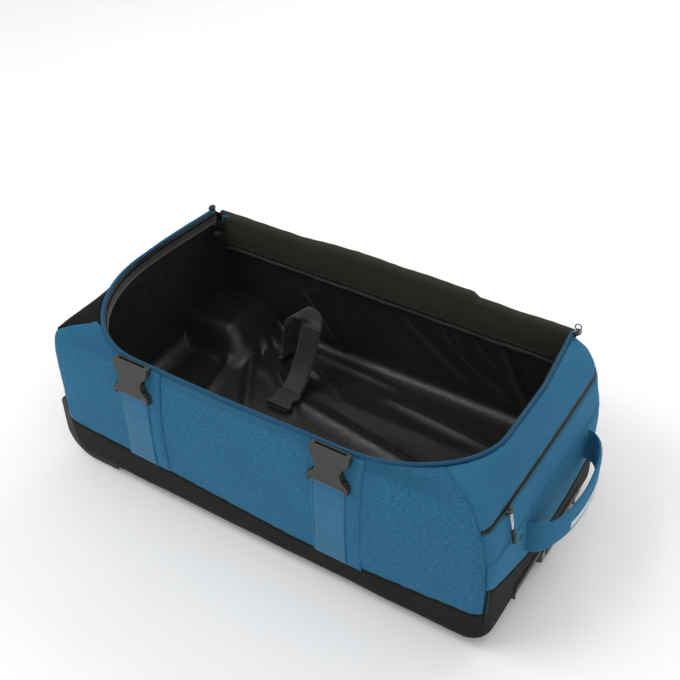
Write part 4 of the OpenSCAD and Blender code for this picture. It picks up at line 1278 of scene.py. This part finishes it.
def main_sliders():
    for side, turn in (("left", -1), ("right", 1)):
        lo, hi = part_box(f"main_slider_{side}")
        c = (lo + hi) / 2
        s = slider_body(f"main_zip_slider_{side}", Vector((c.x, c.y, lo.z + 0.6 * MM)), (0.12 * turn, 1, 0),
                        (0, 0, 1), 1.05)
        dress(s, "zip", "bag", [f"main_slider_{side}"])
    lo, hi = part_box("main_pull_ring")
    c = (lo + hi) / 2
    a = np.linspace(0, 2 * math.pi, 49)[:-1]
    circle = np.stack([c.x + 5 * MM * np.cos(a), np.full(48, c.y), c.z + 5 * MM * np.sin(a)], -1)
    ring = tube("main_ring", circle, 0.9 * MM, 10, closed=True, up=(0, 1, 0))
    dress(ring, "zip", "main_ring", ["main_pull_ring"])
    lo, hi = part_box("main_pull_tab")
    c = (lo + hi) / 2
    zs = np.linspace(hi.z, lo.z, 30)
    ys = np.linspace(lo.y, hi.y, 10)
    Y, Z = np.meshgrid(ys, zs, indexing="ij")
    P = np.stack([np.full_like(Y, c.x) + 0.5 * MM * np.sin(Z * 260), Y, Z], -1)
    tab = grid_object("main_tab_cloth", P)
    thicken(tab, 1.5 * MM, 0.0)
    bevel(tab, 0.4 * MM, 2)
    dress(tab, "blue_smooth", "main_tab", ["main_pull_tab"])


def eyelet():
    lo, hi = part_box("eyelet")
    c = (lo + hi) / 2
    prof = [(3.4, 0.2), (3.6, 1.6), (4.6, 2.1), (6.2, 1.7), (7.3, 0.7), (7.5, 0.0)]
    n = 40
    verts = []
    for k in range(n):
        a = 2 * math.pi * k / n
        for r, h in prof:
            verts.append((lo.x + h * MM, c.y + r * MM * math.cos(a), c.z + r * MM * math.sin(a)))
    m = len(prof)
    faces = [(i * m + j, i * m + j + 1, ((i + 1) % n) * m + j + 1, ((i + 1) % n) * m + j)
             for i in range(n) for j in range(m - 1)]
    ring = new_object("drain_eyelet", verts, faces)
    dress(ring, "zip", replaces=["eyelet"])


# ---------------------------------------------------------------- packing straps

def band_along(name, path, width_dir, width):
    """Flat strap of the given width along a path."""
    line = resample(smooth_path(path, 4), 60)
    w = np.asarray(width_dir, float)
    rows = [line + w * d for d in np.linspace(-width / 2, width / 2, 12)]
    P = np.stack(rows, 0)
    P += normals(P) * (0.4 * MM * ripple(P, 30 * MM, 61.0))[..., None]
    obj = grid_object(name, P)
    thicken(obj, 1.4 * MM, 0.0)
    return obj


PACKING_FOOT, PACKING_TURN = (-0.185, 0.151), math.radians(-15)   # the standing strap and its plane
PACKING_FOLD = (-0.123, 0.144)                                    # where the falling strap starts
PACKING_WIDTH = 38.5 * MM


def packing_socket():
    """Small side-release socket: two plates, rails between them at the sides, and three bars."""
    half = [(22, 0), (24, 3), (24, 12), (20.5, 17), (19, 22), (20.5, 28), (24, 33), (24, 38), (22, 40)]
    rails = ([(17.5, 0), (22, 0), (24, 3), (24, 12), (20.5, 17)],
             [(19, 26), (20.5, 28), (24, 33), (24, 38), (22, 40), (18, 40)])
    parts = [solid_from("front", in_mm(mirrored(half)), 2.2 * MM, axis_y=-6.2 * MM),
             solid_from("back", in_mm(mirrored(half)), 2.2 * MM)]
    between = [[(s * a, b) for a, b in rail] for s in (1, -1) for rail in rails]
    between += [mirrored([(21, z), (21, z + 2.4)]) for z in (3, 9, 15)]
    parts += [solid_from("between", in_mm(shape), 4.2 * MM, axis_y=-2.1 * MM) for shape in between]
    return joined("packing_buckle_socket", parts)


def packing_straps():
    ground = FLOOR_Z + 1.6 * MM
    rise_dir = np.array([math.cos(PACKING_TURN), math.sin(PACKING_TURN), 0.0])
    rise_width = np.array([-rise_dir[1], rise_dir[0], 0.0])
    fall_dir, fall_width = np.array([0.0, -1.0, 0.0]), np.array([1.0, 0.0, 0.0])

    def at(place, direction, points):
        return [np.array([*place, ground]) + direction * a * MM + np.array([0, 0, b * MM]) for a, b in points]

    rise = band_along("packing_strap_rise", at(PACKING_FOOT, rise_dir, [
        (-14, 0.5), (-4, 1.5), (1, 12), (4, 50), (10, 92), (22, 113), (34, 119)]), rise_width, PACKING_WIDTH)
    dress(rise, "black_web", replaces=["packing_strap_far"])
    fold_start = at(PACKING_FOOT, rise_dir, [(31, 119.5)])[0]
    fold_end = at(PACKING_FOLD, fall_dir, [(15, 102)])[0]
    f = np.linspace(0, 1, 24)[:, None]
    bend = at(PACKING_FOLD, fall_dir, [(-1, 122)])[0]
    middle = (1 - f) ** 2 * fold_start + 2 * f * (1 - f) * bend + f ** 2 * fold_end
    width = (1 - smooth(0.1, 0.9, f)) * rise_width + smooth(0.1, 0.9, f) * fall_width
    width /= np.linalg.norm(width, axis=1, keepdims=True)
    P = np.stack([middle + width * k for k in np.linspace(-19.2, 19.2, 12) * MM], 0)
    over = grid_object("packing_strap_fold", P)
    thicken(over, 1.4 * MM, 0.0)
    dress(over, "black_web", "packing_end")
    fall = band_along("packing_strap_fall", at(PACKING_FOLD, fall_dir, [
        (13, 105), (20, 90), (34, 60), (52, 34), (68, 20), (84, 12)]), fall_width, PACKING_WIDTH)
    dress(fall, "black_web", "packing_end", ["packing_strap_end"])
    tail = band_along("packing_strap_tail", at(PACKING_FOLD, fall_dir, [
        (36, 55), (48, 33), (62, 18), (78, 6), (96, 2.5), (124, 2)]), fall_width, 0.036)
    dress(tail, "black_web", "packing_end")
    buckle = packing_socket()
    up = Vector((0, 0, 1))
    turn = Matrix((Vector(fall_width), -up, Vector(fall_dir))).transposed().to_4x4()
    start = Vector(at(PACKING_FOLD, fall_dir, [(84, 4)])[0])
    buckle.data.transform(Matrix.Translation(start) @ turn)
    bevel(buckle, 0.5 * MM, 3)
    dress(buckle, "buckle", "packing_end")
    lo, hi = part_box("packing_strap_near")
    x = (lo.x + hi.x) / 2
    near = band_along("packing_strap_near_cloth",
                      [(x, lo.y + 1 * MM, lo.z + 9 * MM), (x, lo.y + 6 * MM, lo.z + 2.5 * MM),
                       (x, lo.y + 20 * MM, lo.z + 0.9 * MM), (x, hi.y, lo.z + 1.4 * MM)],
                      (1, 0, 0), hi.x - lo.x - 1.5 * MM)
    dress(near, "black_web", replaces=["packing_strap_near"])


# ---------------------------------------------------------------- lid

HINGE = np.array([0.222, 0.263])      # y and z of the lid's hinge
LID_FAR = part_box("lid_panel_lower")[1].y
LID_EDGE_Y = 0.2                      # far edge of the closed lid
LID_INSET = 9.5 * MM                  # room between the lid's edge and the rim for the zip tape


def lid_width(t):
    """Left and right ends of the lid at distance t from its far edge, inside the rim's own outline."""
    y = LID_EDGE_Y - t
    half = len(RIM) // 2
    left = np.interp(y, RIM[:half][::-1, 1], RIM[:half][::-1, 0])
    right = np.interp(y, RIM[half:, 1], RIM[half:, 0])
    return left + LID_INSET, right - LID_INSET


def lid_centre(t):
    """Middle line of the lid in y and z: it comes over the wall, hangs, and lies out on the floor."""
    y0, top = HINGE[0], 0.2635
    pts = [(y0 - 4 * MM, top - 8 * MM), (y0 + 0.3 * MM, top - 20 * MM), (y0 + 0.6 * MM, 0.15),
           (y0 - 0.2 * MM, 0.07), (y0 + 3 * MM, 0.031), (y0 + 14 * MM, 0.0155),
           (y0 + 40 * MM, 0.0135), (y0 + 90 * MM, 0.0138),
           (y0 + 140 * MM, 0.0135), (LID_FAR - 2 * MM, 0.0136)]
    return resample(smooth_path(pts, 3), t)


def lid():
    m, n = 120, 150
    line = lid_centre(m)
    d = np.concatenate([[0], np.cumsum(np.linalg.norm(np.diff(line, axis=0), axis=1))])
    reach = LID_EDGE_Y - (RIM_NEAR + 3 * MM + LID_INSET)
    dist = d / d[-1] * reach
    tangent = np.gradient(line, axis=0)
    tangent /= np.linalg.norm(tangent, axis=1, keepdims=True)
    outward = np.stack([tangent[:, 1], -tangent[:, 0]], -1)
    left, right = lid_width(dist)
    s = np.linspace(0, 1, n)
    x = left[None, :] + (right - left)[None, :] * s[:, None]
    base = np.stack([x, np.broadcast_to(line[:, 0], x.shape), np.broadcast_to(line[:, 1], x.shape)], -1)
    o = np.stack([np.zeros(m), outward[:, 0], outward[:, 1]], -1)[None]
    gap = edge_distance(base)
    quilt = np.minimum(smooth(0, 26 * MM, gap), 1)
    half = (1.4 + 3.1 * quilt) * MM
    rough = ripple(base, 80 * MM, 71.0) * 0.7 * MM * quilt
    for name, sign, material, slot, nodes in (
            ("lid_outer_cloth", -1, "blue", "blue_fabric", ["lid_panel_upper", "lid_panel_lower"]),
            ("lid_lining_satin", 1, "satin", "satin_lining", ["lid_lining_upper", "lid_lining_lower"])):
        lift = sign * half - rough
        if sign > 0:
            lift = lift + (creases(base) * 0.12 - 0.3 * MM) * quilt
        P = base - o * lift[..., None]
        obj = grid_object(name, P if sign > 0 else P[::-1])
        thicken(obj, 0.9 * MM, -1.0)
        blend_lid(dress(obj, material, None, nodes))
    edge = np.concatenate([base[0], base[:, -1], base[-1][::-1]])
    welt = tube("lid_edge_piping", resample(edge, 420), 2.4 * MM, 10, up=(0.1, 0.2, 1))
    blend_lid(dress(welt, "blue_piping", None))


def blend_lid(obj):
    """Bakes the lid piece's placement into its mesh."""
    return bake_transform(obj)


def prong_parts(base, hole, base_depth, prong, prong_depth, prong_y):
    """Base of a male buckle, with a webbing slot of half width hole, and its two prongs."""
    slot = [(hole, 3.5), (hole, 7), (-hole, 7), (-hole, 3.5)]
    parts = [solid_from("base", in_mm(mirrored(base)), base_depth, inner=in_mm(slot))]
    for s in (1, -1):
        parts.append(solid_from("prong", in_mm([(s * a, b) for a, b in prong]), prong_depth, axis_y=prong_y))
    return parts


def lid_straps():
    lo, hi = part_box("lid_straps")
    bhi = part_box("lid_buckles_male")[1]
    for side in ("left", "right"):
        x = sum(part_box(f"strap_webbing_{side}")[k].x for k in (0, 1)) / 2
        mid_z = (lo.z + hi.z) / 2
        path = [(x, lo.y + 4 * MM, hi.z), (x, (lo.y + hi.y) / 2, mid_z + 0.2 * MM), (x, hi.y - 2 * MM, mid_z)]
        web = band_along(f"lid_strap_cloth_{side}", path, (1, 0, 0), 49 * MM)
        dress(web, "blue_web", "lid_lower", ["lid_straps"])
        parts = prong_parts([(27, 0), (27, 14), (25, 16)], 21, 6 * MM,
                            [(17, 15), (17.5, 40), (20, 49), (23, 51.5), (26, 48), (27.5, 40), (26, 34), (22.5, 30),
                             (22, 15)], 4.4 * MM, -0.8 * MM)
        guide = mirrored([(3, 15), (2.6, 44), (1.4, 46)])
        parts.append(solid_from("guide", in_mm(guide), 3 * MM, axis_y=-1.5 * MM))
        male = joined(f"lid_buckle_prongs_{side}", parts)
        turn = Matrix(((1, 0, 0), (0, 0, 1), (0, 1, 0))).to_4x4()
        y = bhi.y - 52 * MM
        male.data.transform(Matrix.Translation((x, y, bhi.z - 0.3 * MM)) @ turn)
        male.data.flip_normals()
        bevel(male, 0.6 * MM, 3)
        dress(male, "buckle", "lid_lower", ["lid_buckles_male"])


def near_prongs():
    lo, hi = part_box("packing_buckle_male")
    x = (lo.x + hi.x) / 2
    parts = prong_parts([(22, 0), (22, 14), (20, 16)], 17, 5 * MM,
                        [(13, 15), (13.5, 32), (16, 41), (18.5, 43.5), (21, 40), (21.8, 34), (20.5, 28), (18, 25),
                         (17.5, 15)], 3.8 * MM, -0.6 * MM)
    male = joined("packing_buckle_prongs", parts)
    turn = Matrix(((1, 0, 0), (0, 0, 1), (0, -1, 0))).to_4x4()
    male.data.transform(Matrix.Translation((x, lo.y, lo.z)) @ turn)
    bevel(male, 0.6 * MM, 3)
    dress(male, "buckle", replaces=["packing_buckle_male"])


# ---------------------------------------------------------------- carried-over nodes, stage, lights and camera

def carried_over():
    node_finish(["wheel_housing_left", "wheel_housing_right", "skid_rails", "corner_feet"], "guard",
                1.2 * MM, 3)
    node_finish(["trolley_recess", "trolley_rear_bracket"], "recess", 1.0 * MM, 3)
    node_finish(["trolley_grip"], "grip", 1.6 * MM, 4)
    node_finish(["grip_button"], "button", 0.8 * MM, 3)
    node_finish(["trolley_outer_tube_left", "trolley_outer_tube_right", "trolley_inner_tube_left",
                 "trolley_inner_tube_right"], "aluminium", 0.5 * MM)
    node_finish(["wheel_axle_left", "wheel_axle_right", "housing_screws", "wheel_bearings_left",
                 "wheel_bearings_right"], "steel", 0.3 * MM)
    node_finish(["tyre_left", "tyre_right"], "tyre", 1.2 * MM, 3)
    node_finish(["wheel_hub_left", "wheel_hub_right"], "hub", 0.8 * MM, 3)
    node_finish(["floor_board"], "board", 0.5 * MM)


def stage():
    corners = [(x, y, -0.5 * MM) for x, y in ((-6, -6), (6, -6), (6, 6), (-6, 6))]
    floor = new_object("floor", corners, [(0, 1, 2, 3)])
    s = Surface("pale_floor", "Object", Specular_IOR_Level=0.1)
    grain = s.noise(3.0, 3.0)
    tone = s.mix(s.map(grain, 0.0, 1.0), (0.86, 0.86, 0.86), (0.9, 0.9, 0.9))
    floor.data.materials.append(s.done(tone, s.map(grain, 0.85, 0.95)))
    world = bpy.data.worlds.new("studio")
    world.use_nodes = True
    background = world.node_tree.nodes["Background"]
    background.inputs["Color"].default_value = (1, 1, 1, 1)
    background.inputs["Strength"].default_value = 0.75
    bpy.context.scene.world = world
    bpy.context.scene.view_settings.view_transform = "Standard"


def area_light(name, place, target, size, power):
    light = bpy.data.lights.new(name, "AREA")
    light.shape, light.size, light.size_y, light.energy = "RECTANGLE", size[0], size[1], power
    obj = linked(name, light)
    obj.location = place
    obj.rotation_euler = (Vector(target) - Vector(place)).to_track_quat("-Z", "Y").to_euler()


def lights():
    area_light("key_light", (-1.6, -1.2, 2.6), (0, 0, 0.15), (1.6, 1.6), 38)
    area_light("fill_light", (1.8, -1.6, 1.4), (0, 0, 0.15), (1.4, 1.4), 8)
    area_light("back_light", (0.4, 2.2, 1.9), (0, 0, 0.2), (2.0, 1.2), 26)


CAMERA_AZIMUTH, CAMERA_ELEVATION, CAMERA_ROLL = 33.21, 38.49, -1.27
CAMERA_PLACE, CAMERA_LENS = (0.7225, -1.0719, 1.2876), 57.14


def camera():
    data = bpy.data.cameras.new("camera")
    data.lens, data.sensor_width, data.clip_start = CAMERA_LENS, 36, 0.05
    obj = linked("camera", data)
    az, el, roll = (math.radians(a) for a in (CAMERA_AZIMUTH, CAMERA_ELEVATION, CAMERA_ROLL))
    back = Vector((math.sin(az) * math.cos(el), -math.cos(az) * math.cos(el), math.sin(el)))
    right = (-back).cross(Vector((0, 0, 1))).normalized()
    up = right.cross(-back)
    x, y = right * math.cos(roll) + up * math.sin(roll), up * math.cos(roll) - right * math.sin(roll)
    obj.matrix_world = Matrix.Translation(CAMERA_PLACE) @ Matrix((x, y, back)).transposed().to_4x4()
    bpy.context.scene.camera = obj


camera()
stage()
lights()
body_panels()
base_band()
rim_details()
body_stitching()
far_wall()
lining()
for strap_side in ("left", "right"):
    strap(strap_side)
    female_buckle(strap_side)
    webbing_loop(strap_side)
grab_handle()
pocket_zip()
pocket_pull()
main_sliders()
eyelet()
packing_straps()
near_prongs()
lid()
lid_straps()
carried_over()
